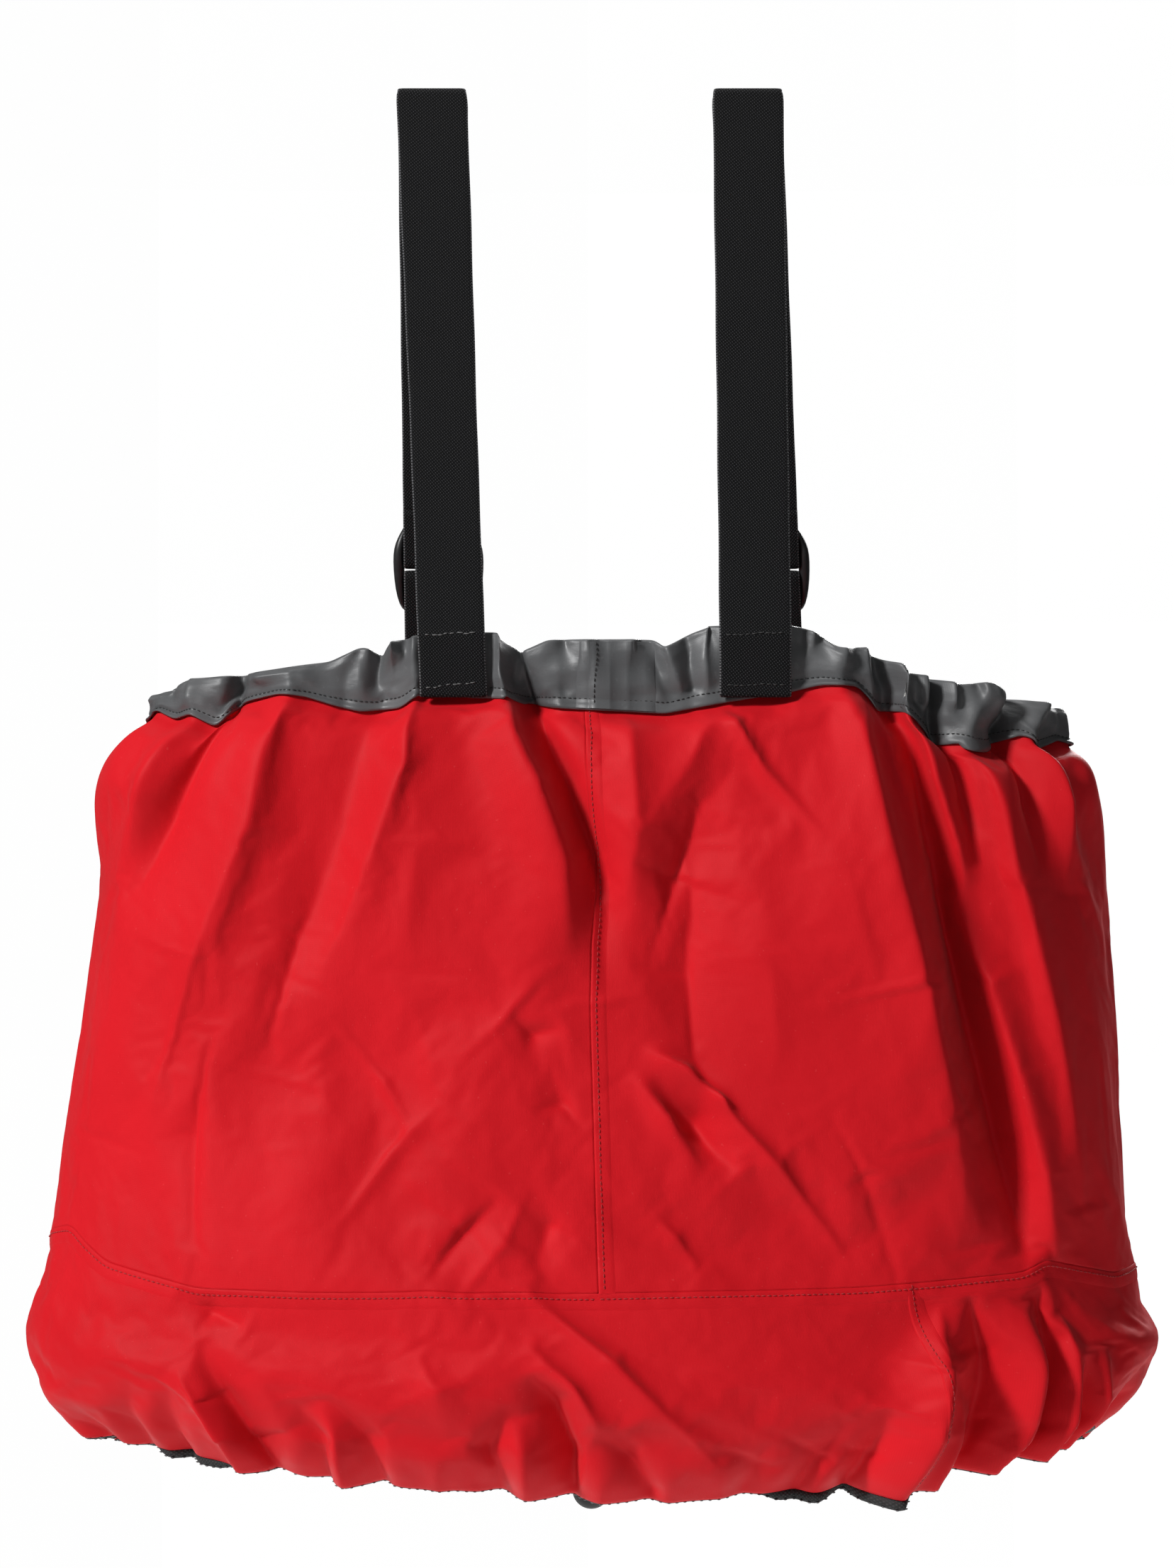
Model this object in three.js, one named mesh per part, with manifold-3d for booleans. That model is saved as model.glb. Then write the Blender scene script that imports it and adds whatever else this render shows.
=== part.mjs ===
// Kayak spray skirt with shoulder straps, hanging by its strap tops.
// Millimetres, +Z up. The origin is the hang point, midway between the two strap tops, level with
// the underside of their folds. The wearer's back faces -Y; the buckles and the grab loop face +Y.

import * as THREE from 'three';
import { mergeVertices } from 'three/addons/utils/BufferGeometryUtils.js';
import Module from 'manifold-3d';

const GAP = 0.4; // left between neighbouring pieces
const RING_STEPS = 48; // facets round the skirt
const OVAL_POWER = 2.4; // 2 is an ellipse, more is a squarer oval

// the fabric shell, as half width, half depth and height of the oval at each level
const BAND_TOP = new THREE.Vector3(254, 80, -308);
const WAIST = new THREE.Vector3(258, 82, -343);
const SHOULDER = new THREE.Vector3(277, 97, -376);
const MIDDLE = new THREE.Vector3(291, 112, -515);
const HEM_SEAM = new THREE.Vector3(302, 125, -655);
const BULGE = new THREE.Vector3(316, 134, -708);
const HEM = new THREE.Vector3(300, 121, -768);
const WAIST_SHIFT = 10; // the waist hangs this far towards +X, under the leaning straps
const HEM_SHIFT = 2;
const WAIST_DROOP = 38; // the waistband's sides hang this far below its middles
const FABRIC = 1.5; // coated fabric with its lining and seam allowance
const PANEL_ROWS = 8;
const HEM_ROWS = 5;

// waistband: a folded casing, open below, with an elastic strip in it
const CASING = 1.2;
const CASING_HOLLOW = FABRIC + 2 * GAP;
const ELASTIC = { thickness: 1.6, top: -311, bottom: -334 };
const TUCK = 7; // length of panel edge sewn into the casing

// hem: the band's lower edge is folded up inside round a shock cord, and a grip tape lines the fold
const HEM_FOLD = { width: 12, height: 18 };
const SHOCK_CORD = { radius: 4, facets: 8 };
const GRIP_TAPE = { thickness: 1.5, height: 32 };
const HEM_JOIN = -60; // degrees; the band's two lengths meet here and on the opposite side
const HEM_JOIN_GAP = 0.06; // degrees

const SEAM_TAPE = { width: 22, thickness: 0.6, top: 1, bottom: 7 };
const JOIN_TAPE = { spread: 2.4, thickness: 0.6, clearance: 0.9 };

// elastic webbing straps
const WEBBING = { width: 40, thickness: 1.8 };
const STRAP_X = { left: -88, right: 90 };
const STRAP_LEAN = { // degrees; the lower end of each run lies further towards +X than its top
  left: { back: 2.5, front: 0.2 },
  right: { back: 0.2, front: 2.8 },
};
const STRAP_TOP = 6; // half the depth of the flat fold that lies on a bar
const LAYERS = 2.4; // from one webbing layer's middle to the next one's
const SEWN_TOP = -307;
const SEWN_BOTTOM = -340;
const TAIL = 104; // the free end's reach above the buckle's centre

// ladder-lock buckle; v runs up along the strap from the buckle's centre, w outwards
const BUCKLE_Z = -266;
const BAR = { near: 3.2, far: 8.2, low: 1.2, high: 5.2 };
const RAIL = { inner: 20.8, outer: 26.4 };
const SLOT_END = 15.2;
const WRAP = 6.4; // w of the webbing where it lies over a bar

// grab loop at the front of the hem
const GRAB = { width: 15, thickness: 1.5, y: 136.2, top: -737, ballZ: -811, ballRadius: 11, spread: 18 };
const GRAB_TAB = { width: 22, thickness: 2, top: -706, bottom: -734 };

const wasm = await Module();
wasm.setup();

// ---- solids ----

function closedGeometry(positions, triangles) {
  const geometry = new THREE.BufferGeometry();
  geometry.setAttribute('position', new THREE.Float32BufferAttribute(positions, 3));
  geometry.setIndex(triangles);
  if (signedVolume(geometry) < 0) geometry.setIndex(triangles.slice().reverse());
  return geometry;
}

function signedVolume(geometry) {
  const [a, b, c] = [new THREE.Vector3(), new THREE.Vector3(), new THREE.Vector3()];
  const points = geometry.getAttribute('position');
  const index = geometry.getIndex().array;
  let volume = 0;
  for (let i = 0; i < index.length; i += 3) {
    a.fromBufferAttribute(points, index[i]);
    b.fromBufferAttribute(points, index[i + 1]);
    c.fromBufferAttribute(points, index[i + 2]);
    volume += a.dot(b.cross(c)) / 6;
  }
  return volume;
}

function toManifold(geometry) {
  const bare = geometry.clone();
  bare.deleteAttribute('normal');
  bare.deleteAttribute('uv');
  const merged = mergeVertices(bare, 1e-4);
  return new wasm.Manifold(
    new wasm.Mesh({
      numProp: 3,
      vertProperties: new Float32Array(merged.getAttribute('position').array),
      triVerts: new Uint32Array(merged.getIndex().array),
    }),
  );
}

function fromManifold(solid) {
  const mesh = solid.getMesh();
  return closedGeometry(Array.from(mesh.vertProperties), Array.from(mesh.triVerts));
}

const piece = (name, geometry, color, roughness, metalness = 0) => {
  const mesh = new THREE.Mesh(geometry, new THREE.MeshStandardMaterial({ color, roughness, metalness }));
  mesh.name = name;
  return mesh;
};

// ---- the fabric shell ----

const outline = new THREE.CatmullRomCurve3([WAIST, SHOULDER, MIDDLE, HEM_SEAM, BULGE, HEM]);
const SEAM_AT = 3 / 5; // where the hem seam lies along the outline
const panelRow = (row) => outline.getPoint((SEAM_AT * row) / PANEL_ROWS);
const hemRow = (row) => outline.getPoint(SEAM_AT + ((1 - SEAM_AT) * row) / HEM_ROWS);
const bandLevel = (z) => BAND_TOP.clone().lerp(WAIST, (BAND_TOP.z - z) / (BAND_TOP.z - WAIST.z)).setZ(z);
const hemLevel = (z) => {
  const last = hemRow(HEM_ROWS - 1);
  return last.lerp(HEM, (last.z - z) / (last.z - HEM.z)).setZ(z);
};

const signedPower = (value, power) => Math.sign(value) * Math.abs(value) ** power;

// A point of the shell: on the level's oval at an angle in degrees, moved inwards by the inset.
function shellPoint({ level, inset }, degrees) {
  const angle = THREE.MathUtils.degToRad(degrees);
  const [c, s] = [Math.cos(angle), Math.sin(angle)];
  const normal = new THREE.Vector2(
    signedPower(c, 2 - 2 / OVAL_POWER) / level.x,
    signedPower(s, 2 - 2 / OVAL_POWER) / level.y,
  ).normalize();
  const down = THREE.MathUtils.clamp((WAIST.z - level.z) / (WAIST.z - HEM_SEAM.z), 0, 1);
  return new THREE.Vector3(
    level.x * signedPower(c, 2 / OVAL_POWER) - inset * normal.x
      + THREE.MathUtils.lerp(WAIST_SHIFT, HEM_SHIFT, down),
    level.y * signedPower(s, 2 / OVAL_POWER) - inset * normal.y,
    level.z - WAIST_DROOP * c * c * (1 - down),
  );
}

// A section, a closed list of { level, inset }, carried round the shell. An open run gets two end caps.
function carryRound(section, angles, isRing) {
  const positions = angles.flatMap((degrees) =>
    section.flatMap((corner) => shellPoint(corner, degrees).toArray()));
  const triangles = [];
  const count = section.length;
  const stations = isRing ? angles.length : angles.length - 1;
  for (let i = 0; i < stations; i++) {
    for (let j = 0; j < count; j++) {
      const [here, next] = [i * count, ((i + 1) % angles.length) * count];
      const k = (j + 1) % count;
      triangles.push(here + j, next + j, next + k, here + j, next + k, here + k);
    }
  }
  if (!isRing) {
    const flat = section.map(({ level, inset }) => new THREE.Vector2(level.y - inset, level.z));
    const last = (angles.length - 1) * count;
    const backwards = THREE.ShapeUtils.isClockWise(flat);
    for (const [a, b, c] of THREE.ShapeUtils.triangulateShape(flat, [])) {
      triangles.push(...(backwards ? [c, b, a] : [a, b, c]));
      triangles.push(...(backwards ? [a, b, c] : [c, b, a]).map((v) => v + last));
    }
  }
  return closedGeometry(positions, sameWay(triangles));
}

// Turns each triangle to run the same way as its neighbours, starting from the first.
function sameWay(triangles) {
  const faces = [];
  const byEdge = new Map();
  for (let i = 0; i < triangles.length; i += 3) {
    const face = triangles.slice(i, i + 3);
    for (let k = 0; k < 3; k++) {
      const key = [face[k], face[(k + 1) % 3]].sort((p, q) => p - q).join();
      byEdge.set(key, [...(byEdge.get(key) ?? []), faces.length]);
    }
    faces.push(face);
  }
  const seen = new Set([0]);
  const queue = [0];
  while (queue.length) {
    const face = faces[queue.pop()];
    for (let k = 0; k < 3; k++) {
      const [from, to] = [face[k], face[(k + 1) % 3]];
      for (const other of byEdge.get([from, to].sort((p, q) => p - q).join())) {
        if (seen.has(other)) continue;
        const at = faces[other].indexOf(from);
        if (faces[other][(at + 1) % 3] === to) faces[other].reverse();
        seen.add(other);
        queue.push(other);
      }
    }
  }
  return faces.flat();
}

const wholeRing = Array.from({ length: RING_STEPS }, (_, i) => (360 * i) / RING_STEPS);

// Angles from one to the other in the ring's own steps, with the ends trimmed.
function anglesBetween(from, to, trim) {
  const step = 360 / RING_STEPS;
  const inner = Array.from({ length: (to - from) / step - 1 }, (_, i) => from + (i + 1) * step);
  return [from + trim, ...inner, to - trim];
}

// The angle, in degrees from the middle of the back or front, of a point this far to one side.
const angleToSide = (x, halfWidth) =>
  THREE.MathUtils.radToDeg(Math.asin((x / halfWidth) ** (OVAL_POWER / 2)));

function strip(levels, inset, thickness) {
  const outer = levels.map((level) => ({ level, inset }));
  const inner = levels.map((level) => ({ level, inset: inset + thickness })).reverse();
  return [...outer, ...inner];
}

const rowsOf = (count, row) => Array.from({ length: count + 1 }, (_, i) => row(i));

function skirtPanel(from) {
  const tuck = [bandLevel(WAIST.z + TUCK), bandLevel(WAIST.z)];
  const sewnIn = CASING + GAP;
  const below = rowsOf(PANEL_ROWS, panelRow).slice(1);
  below.at(-1).z += GAP / 2;
  const outer = [
    ...tuck.map((level) => ({ level, inset: sewnIn })),
    ...below.map((level) => ({ level, inset: 0 })),
  ];
  const inner = outer.map(({ level, inset }) => ({ level, inset: inset + FABRIC })).reverse();
  const trim = angleToSide(GAP / 2, MIDDLE.x);
  return carryRound([...outer, ...inner], anglesBetween(from, from + 180, trim), false);
}

function seamTape(middle) {
  const rows = rowsOf(PANEL_ROWS, panelRow).slice(SEAM_TAPE.top, SEAM_TAPE.bottom + 1);
  const spread = angleToSide(SEAM_TAPE.width / 2, MIDDLE.x);
  const section = strip(rows, FABRIC + GAP, SEAM_TAPE.thickness);
  return carryRound(section, [middle - spread, middle, middle + spread], false);
}

function waistCasing() {
  const back = 2 * CASING + CASING_HOLLOW;
  const corner = (z, inset) => ({ level: bandLevel(z), inset });
  return carryRound([
    corner(WAIST.z, 0),
    corner(BAND_TOP.z - CASING, 0),
    corner(BAND_TOP.z, CASING),
    corner(BAND_TOP.z, back - CASING),
    corner(BAND_TOP.z - CASING, back),
    corner(WAIST.z, back),
    corner(WAIST.z, back - CASING),
    corner(BAND_TOP.z - 2 * CASING, back - CASING),
    corner(BAND_TOP.z - 2 * CASING, CASING),
    corner(WAIST.z, CASING),
  ], wholeRing, true);
}

function waistElastic() {
  const levels = [bandLevel(ELASTIC.top), bandLevel(ELASTIC.bottom)];
  return carryRound(strip(levels, CASING + GAP, ELASTIC.thickness), wholeRing, true);
}

function hemBand(from) {
  const rows = rowsOf(HEM_ROWS, hemRow);
  rows[0].z -= GAP / 2;
  const floor = hemLevel(HEM.z + FABRIC);
  const foldTop = hemLevel(HEM.z + HEM_FOLD.height);
  const { width } = HEM_FOLD;
  const section = [
    ...rows.map((level) => ({ level, inset: 0 })),
    { level: HEM, inset: width + FABRIC },
    { level: foldTop, inset: width + FABRIC },
    { level: foldTop, inset: width },
    { level: floor, inset: width },
    { level: floor, inset: FABRIC },
    ...rows.slice(0, -1).reverse().map((level) => ({ level, inset: FABRIC })),
  ];
  return carryRound(section, anglesBetween(from, from + 180, HEM_JOIN_GAP), false);
}

function shockCord() {
  const { radius, facets } = SHOCK_CORD;
  const middle = { z: HEM.z + FABRIC + GAP + radius, inset: (FABRIC + HEM_FOLD.width) / 2 };
  const section = Array.from({ length: facets }, (_, i) => {
    const turn = (2 * Math.PI * (i + 0.5)) / facets;
    const z = middle.z + radius * Math.sin(turn);
    return { level: hemLevel(z), inset: middle.inset + radius * Math.cos(turn) };
  });
  return carryRound(section, wholeRing, true);
}

function gripTape() {
  const inside = HEM_FOLD.width + FABRIC + GAP;
  const edge = FABRIC;
  const { thickness, height } = GRIP_TAPE;
  const corner = (z, inset) => ({ level: hemLevel(z), inset });
  const [bottom, under] = [HEM.z - GAP - thickness, HEM.z - GAP];
  return carryRound([
    corner(bottom, edge),
    corner(under, edge),
    corner(under, inside),
    corner(bottom + height, inside),
    corner(bottom + height, inside + thickness),
    corner(bottom, inside + thickness),
  ], wholeRing, true);
}

function hemJoinTape(middle) {
  const rows = rowsOf(HEM_ROWS, hemRow).slice(1, HEM_ROWS);
  const section = strip(rows, FABRIC + JOIN_TAPE.clearance, JOIN_TAPE.thickness);
  const { spread } = JOIN_TAPE;
  return carryRound(section, [middle - spread, middle, middle + spread], false);
}

// ---- webbing ----

// Lines between the points, with each inner corner rounded off.
function roundedPath(points, radius) {
  const path = new THREE.Path();
  path.moveTo(points[0].x, points[0].y);
  for (let i = 1; i < points.length - 1; i++) {
    const corner = points[i];
    const back = points[i - 1].clone().sub(corner);
    const on = points[i + 1].clone().sub(corner);
    const reach = Math.min(radius, back.length() / 2, on.length() / 2);
    const start = corner.clone().add(back.setLength(reach));
    const end = corner.clone().add(on.setLength(reach));
    path.lineTo(start.x, start.y);
    path.quadraticCurveTo(corner.x, corner.y, end.x, end.y);
  }
  path.lineTo(points.at(-1).x, points.at(-1).y);
  return path.getPoints(3);
}

// Webbing that follows a path drawn in y and z, with its width along x.
function webbing(path, width, thickness) {
  const spaced = path.filter((point, i) => i === 0 || point.distanceTo(path[i - 1]) > 0.05);
  const sides = spaced.map((point, i) => {
    const before = point.clone().sub(spaced[Math.max(i - 1, 0)]).normalize();
    const after = spaced[Math.min(i + 1, spaced.length - 1)].clone().sub(point).normalize();
    const along = before.clone().add(after).normalize();
    const half = thickness / 2 / Math.max((i > 0 ? before : after).dot(along), 0.5);
    return new THREE.Vector2(-along.y, along.x).multiplyScalar(half);
  });
  const left = spaced.map((point, i) => point.clone().add(sides[i]));
  const right = spaced.map((point, i) => point.clone().sub(sides[i])).reverse();
  return acrossX([...left, ...right], -width / 2, width / 2);
}

// A flat outline drawn in y and z, made solid from one x to another.
function acrossX(corners, from, to) {
  const geometry = new THREE.ExtrudeGeometry(new THREE.Shape(corners), {
    depth: to - from,
    bevelEnabled: false,
  });
  const turn = new THREE.Matrix4().makeBasis(
    new THREE.Vector3(0, 1, 0),
    new THREE.Vector3(0, 0, 1),
    new THREE.Vector3(1, 0, 0),
  );
  return geometry.applyMatrix4(turn).translate(from, 0, 0);
}

const sewnY = WAIST.y + GAP + WEBBING.thickness / 2; // the inner layer's middle, on the waistband
const shoulderTop = WEBBING.thickness / 2;
const runTop = new THREE.Vector2(STRAP_TOP + 2, shoulderTop - 2);
const runEnd = new THREE.Vector2(sewnY, SEWN_TOP);
const up = runTop.clone().sub(runEnd).normalize();
const outwards = new THREE.Vector2(-up.y, up.x).negate();
const buckleCentre = runEnd.clone().addScaledVector(up, (BUCKLE_Z - SEWN_TOP) / up.y);
const onRun = (v, w) => buckleCentre.clone().addScaledVector(up, v).addScaledVector(outwards, w);

// The half turn round one of the buckle's two bars, from w = 0 out to w = WRAP.
function turnRoundBar(side) {
  const middle = { v: side * (BAR.near + 2), w: WRAP / 2 };
  return Array.from({ length: 7 }, (_, i) => {
    const angle = (Math.PI * i) / 6;
    const v = middle.v - side * (WRAP / 2) * Math.sin(angle);
    return onRun(v, middle.w - (WRAP / 2) * Math.cos(angle));
  });
}

// From the front of a bar back through the slot, to lie behind the end of the frame.
const throughSlot = (side) => [onRun(side * 9.2, WRAP), onRun(side * 14, LAYERS)];

function shoulderStrap() {
  const backOuter = -sewnY - LAYERS;
  const path = [
    ...roundedPath([
      new THREE.Vector2(-sewnY, SEWN_TOP),
      new THREE.Vector2(-sewnY, SEWN_BOTTOM),
      new THREE.Vector2(backOuter, SEWN_BOTTOM),
      new THREE.Vector2(backOuter, SEWN_TOP),
      new THREE.Vector2(-runTop.x, runTop.y),
      new THREE.Vector2(-STRAP_TOP, shoulderTop),
      new THREE.Vector2(STRAP_TOP, shoulderTop),
      runTop,
      onRun(BAR.near + 4, 0),
    ], 1.2),
    ...turnRoundBar(1),
    ...roundedPath([onRun(BAR.far - 2, WRAP), ...throughSlot(1), onRun(TAIL, LAYERS)], 1),
  ];
  return webbing(path, WEBBING.width, WEBBING.thickness);
}

function anchorStrap() {
  const path = [
    ...roundedPath([
      new THREE.Vector2(sewnY, SEWN_BOTTOM),
      new THREE.Vector2(sewnY, SEWN_TOP),
      onRun(-BAR.near - 4, 0),
    ], 1.2),
    ...turnRoundBar(-1),
    ...roundedPath([
      onRun(2 - BAR.far, WRAP),
      ...throughSlot(-1),
      new THREE.Vector2(sewnY + LAYERS, SEWN_TOP),
      new THREE.Vector2(sewnY + LAYERS, SEWN_BOTTOM),
    ], 1),
  ];
  return webbing(path, WEBBING.width, WEBBING.thickness);
}

// The runs behind and in front of the shoulder each lean by their own angle.
function leaning(geometry, side) {
  const { back, front } = STRAP_LEAN[side];
  const points = geometry.getAttribute('position');
  for (let i = 0; i < points.count; i++) {
    const angle = THREE.MathUtils.degToRad(points.getY(i) < 0 ? back : front);
    points.setX(i, points.getX(i) - points.getZ(i) * Math.tan(angle));
  }
  return geometry;
}

// ---- ladder-lock buckle ----

function barOutline(side) {
  const radius = (BAR.high - BAR.low) / 2;
  const ends = [side * (BAR.far - radius), side * (BAR.near + radius)];
  return ends.flatMap((v, end) =>
    Array.from({ length: 6 }, (_, i) => {
      const angle = Math.PI * (i / 5 + end) - Math.PI / 2;
      const w = BAR.low + radius + radius * Math.sin(angle);
      return onRun(v + side * radius * Math.cos(angle), w);
    }));
}

function ladderLock() {
  const rail = [
    onRun(-23.5, 2.4), onRun(-26, 5), onRun(-23.5, 7.4), onRun(-12, 8.6), onRun(0, 9),
    onRun(14, 8.8), onRun(27, 12.4), onRun(28, 11.4), onRun(27, 9.4), onRun(18, 3), onRun(12, 0.6),
    onRun(-16, 0.6),
  ];
  const topTab = [
    onRun(SLOT_END, 3.6), onRun(SLOT_END, 8.2), onRun(27, 12.4), onRun(28, 11.4), onRun(27, 9.4),
    onRun(19, 3.6),
  ];
  const lowerEnd = [
    onRun(-SLOT_END, 3.6), onRun(-SLOT_END, 7.8), onRun(-23.5, 7.4), onRun(-26, 5), onRun(-23.5, 3.6),
  ];
  const inside = RAIL.inner + 1;
  const solids = [
    acrossX(rail, -RAIL.outer, -RAIL.inner),
    acrossX(rail, RAIL.inner, RAIL.outer),
    acrossX(barOutline(1), -inside, inside),
    acrossX(barOutline(-1), -inside, inside),
    acrossX(topTab, -inside, inside),
    acrossX(lowerEnd, -inside, inside),
  ];
  return fromManifold(solids.map(toManifold).reduce((whole, next) => whole.add(next)));
}

// ---- grab loop ----

function grabTab() {
  const { width, thickness, top, bottom } = GRAB_TAB;
  const geometry = new THREE.BoxGeometry(width, thickness, top - bottom);
  return geometry.translate(HEM_SHIFT, GRAB.y, (top + bottom) / 2);
}

function grabLoop() {
  const { y, top, ballZ, spread, thickness } = GRAB;
  const strand = (side) => [
    new THREE.Vector2(y + side * (thickness / 2 + GAP), top),
    new THREE.Vector2(y + side * (spread - 3), ballZ + 38),
    new THREE.Vector2(y + side * spread, ballZ),
  ];
  const path = roundedPath([...strand(-1), ...strand(1).reverse()], 6.5);
  return webbing(path, GRAB.width, thickness).translate(HEM_SHIFT, 0, 0);
}

function grabBall() {
  const ball = new THREE.SphereGeometry(GRAB.ballRadius, 18, 12);
  const slot = new THREE.BoxGeometry(GRAB.width + 1.2, 4 * GRAB.ballRadius, GRAB.thickness + 1);
  const solid = toManifold(ball).subtract(toManifold(slot));
  return fromManifold(solid).translate(HEM_SHIFT, GRAB.y, GRAB.ballZ);
}

// ---- assembly ----

const RED = 0xc41c26;
const GREY = 0x5a5c60;
const BLACK = 0x16171a;
const TAPE = 0x3a3b3e;

const skirt = new THREE.Group();
skirt.add(
  piece('left_skirt_panel', skirtPanel(90), RED, 0.55),
  piece('right_skirt_panel', skirtPanel(-90), RED, 0.55),
  piece('back_seam_tape', seamTape(-90), TAPE, 0.7),
  piece('front_seam_tape', seamTape(90), TAPE, 0.7),
  piece('waistband', waistCasing(), GREY, 0.45),
  piece('waist_elastic', waistElastic(), 0xd8d6d0, 0.85),
  piece('hem_band_front', hemBand(HEM_JOIN), RED, 0.55),
  piece('hem_band_back', hemBand(HEM_JOIN + 180), RED, 0.55),
  piece('hem_join_tape_right', hemJoinTape(HEM_JOIN), TAPE, 0.7),
  piece('hem_join_tape_left', hemJoinTape(HEM_JOIN + 180), TAPE, 0.7),
  piece('hem_shock_cord', shockCord(), BLACK, 0.8),
  piece('hem_grip_tape', gripTape(), BLACK, 0.6),
  piece('grab_loop_tab', grabTab(), BLACK, 0.8),
  piece('grab_loop', grabLoop(), BLACK, 0.8),
  piece('grab_ball', grabBall(), BLACK, 0.4),
);

for (const [side, x] of Object.entries(STRAP_X)) {
  const suspender = new THREE.Group();
  suspender.position.x = x;
  suspender.add(
    piece(`${side}_shoulder_strap`, leaning(shoulderStrap(), side), BLACK, 0.85),
    piece(`${side}_anchor_strap`, leaning(anchorStrap(), side), BLACK, 0.85),
    piece(`${side}_ladder_buckle`, leaning(ladderLock(), side), 0x101113, 0.35),
  );
  skirt.add(suspender);
}

export default skirt;
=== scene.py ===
"""The looks of a kayak spray skirt: gathered red nylon, coated grey waistband, webbing, buckles and hem.

Shapes are worked out in millimetres in the CAD frame: +Z up, the wearer's back towards -Y.
Round the skirt, u is the distance along the hem seam's oval from the middle of the back, towards +X.
"""

import math

import bmesh
import bpy
import numpy as np
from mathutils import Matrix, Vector


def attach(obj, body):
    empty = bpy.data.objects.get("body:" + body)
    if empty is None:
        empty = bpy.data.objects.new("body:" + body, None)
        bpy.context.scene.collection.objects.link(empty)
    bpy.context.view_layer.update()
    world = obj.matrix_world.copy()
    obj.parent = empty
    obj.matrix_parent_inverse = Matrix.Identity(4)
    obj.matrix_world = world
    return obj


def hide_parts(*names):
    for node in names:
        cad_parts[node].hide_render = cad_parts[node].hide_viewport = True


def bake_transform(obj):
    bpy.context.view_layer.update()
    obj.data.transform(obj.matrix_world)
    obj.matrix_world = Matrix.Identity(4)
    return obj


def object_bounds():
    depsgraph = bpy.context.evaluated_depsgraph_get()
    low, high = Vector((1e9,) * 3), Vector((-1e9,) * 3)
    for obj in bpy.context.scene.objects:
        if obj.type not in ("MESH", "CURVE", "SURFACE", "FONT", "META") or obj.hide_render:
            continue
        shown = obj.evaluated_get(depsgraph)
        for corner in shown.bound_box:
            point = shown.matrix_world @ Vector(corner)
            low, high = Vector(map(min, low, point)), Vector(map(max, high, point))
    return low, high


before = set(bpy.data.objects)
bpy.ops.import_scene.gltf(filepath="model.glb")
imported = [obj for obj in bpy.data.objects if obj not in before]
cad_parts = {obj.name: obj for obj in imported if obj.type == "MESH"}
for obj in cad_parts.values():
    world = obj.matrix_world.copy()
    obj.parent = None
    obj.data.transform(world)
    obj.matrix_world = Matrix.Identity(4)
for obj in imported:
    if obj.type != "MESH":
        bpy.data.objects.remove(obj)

CAD_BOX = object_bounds()
MM = 0.001

# ---- driving dimensions, as in the CAD model ----

OVAL_POWER = 2.4
BAND_TOP_Z, WAIST_Z, SEAM_Z, HEM_Z = -308.0, -343.0, -655.0, -768.0
LEVELS = np.array([  # half width, half depth and height of the skirt's oval
    (254, 80, BAND_TOP_Z), (258, 82, WAIST_Z), (277, 97, -376), (291, 112, -515),
    (302, 125, SEAM_Z), (316, 134, -708), (300, 121, HEM_Z),
], float)
WAIST, SEAM = 1, 4  # their places in the list of levels
WAIST_SHIFT, HEM_SHIFT = 10.0, 2.0  # how far the middle lies towards +X
WAIST_DROOP = 38.0

# webbing straps: x of each one's top, and how each run leans towards +X on its way down
STRAP_X = {"left": -88.0, "right": 90.0}
BACK, FRONT = 0, 1
STRAP_LEAN = {"left": (2.5, 0.2), "right": (0.2, 2.8)}
WEBBING_WIDTH, WEBBING_THICKNESS = 40.0, 1.8
STRAP_TOP = 6.0  # half the depth of the flat fold at the top
LAYERS = 2.4  # from one webbing layer's middle to the next one's
SEWN_TOP, SEWN_BOTTOM = -307.0, -342.0
SEWN_Y = LEVELS[WAIST, 1] + 0.4 + WEBBING_THICKNESS / 2
BUCKLE_Z = -266.0
BAR_NEAR, BAR_FAR = 3.2, 8.2  # the buckle's bars, from its middle
WRAP = 6.4  # how far out the webbing lies over a bar
TAIL = 104.0  # the free end's reach above the buckle's middle

# the grab loop at the front: its tab, its webbing and its ball
GRAB_Y, GRAB_TAB_TOP, GRAB_TOP = 136.2, -706.0, -737.0
GRAB_WIDTH, GRAB_THICKNESS = 15.0, 1.5
GRAB_SPREAD = 18.0  # from the loop's middle to each strand, at the ball
BALL_Z, BALL_RADIUS = -811.0, 11.0

COLUMNS = 448  # of cloth round the skirt
ROWS = 144  # of cloth from the waist to the hem
CLOTH = 0.5  # thickness
HEM_JOIN = math.radians(-60)  # the hem band's lengths meet here and opposite

# ---- camera, light and floor ----

VIEW_DISTANCE = 2.4
VIEW_HEIGHT = -0.390  # level with the middle of the picture
VIEW_TALL = 0.8848  # height of the picture at the straps
SENSOR = 36
LIT_PLACE = (0, 0, -0.5)  # what the lamps point at
LAMPS = [  # name, place, power, size: a key light from the upper left, a weak fill, one above and one behind
    ("key", (-3.1, -2.7, 2.0), 248, 0.8),
    ("front", (0.6, -2.8, 0.2), 4, 1.6),
    ("top", (0.0, 0.5, 1.5), 12, 1.2),
    ("far", (1.5, 3.4, 1.5), 165, 1.0),
]


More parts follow.
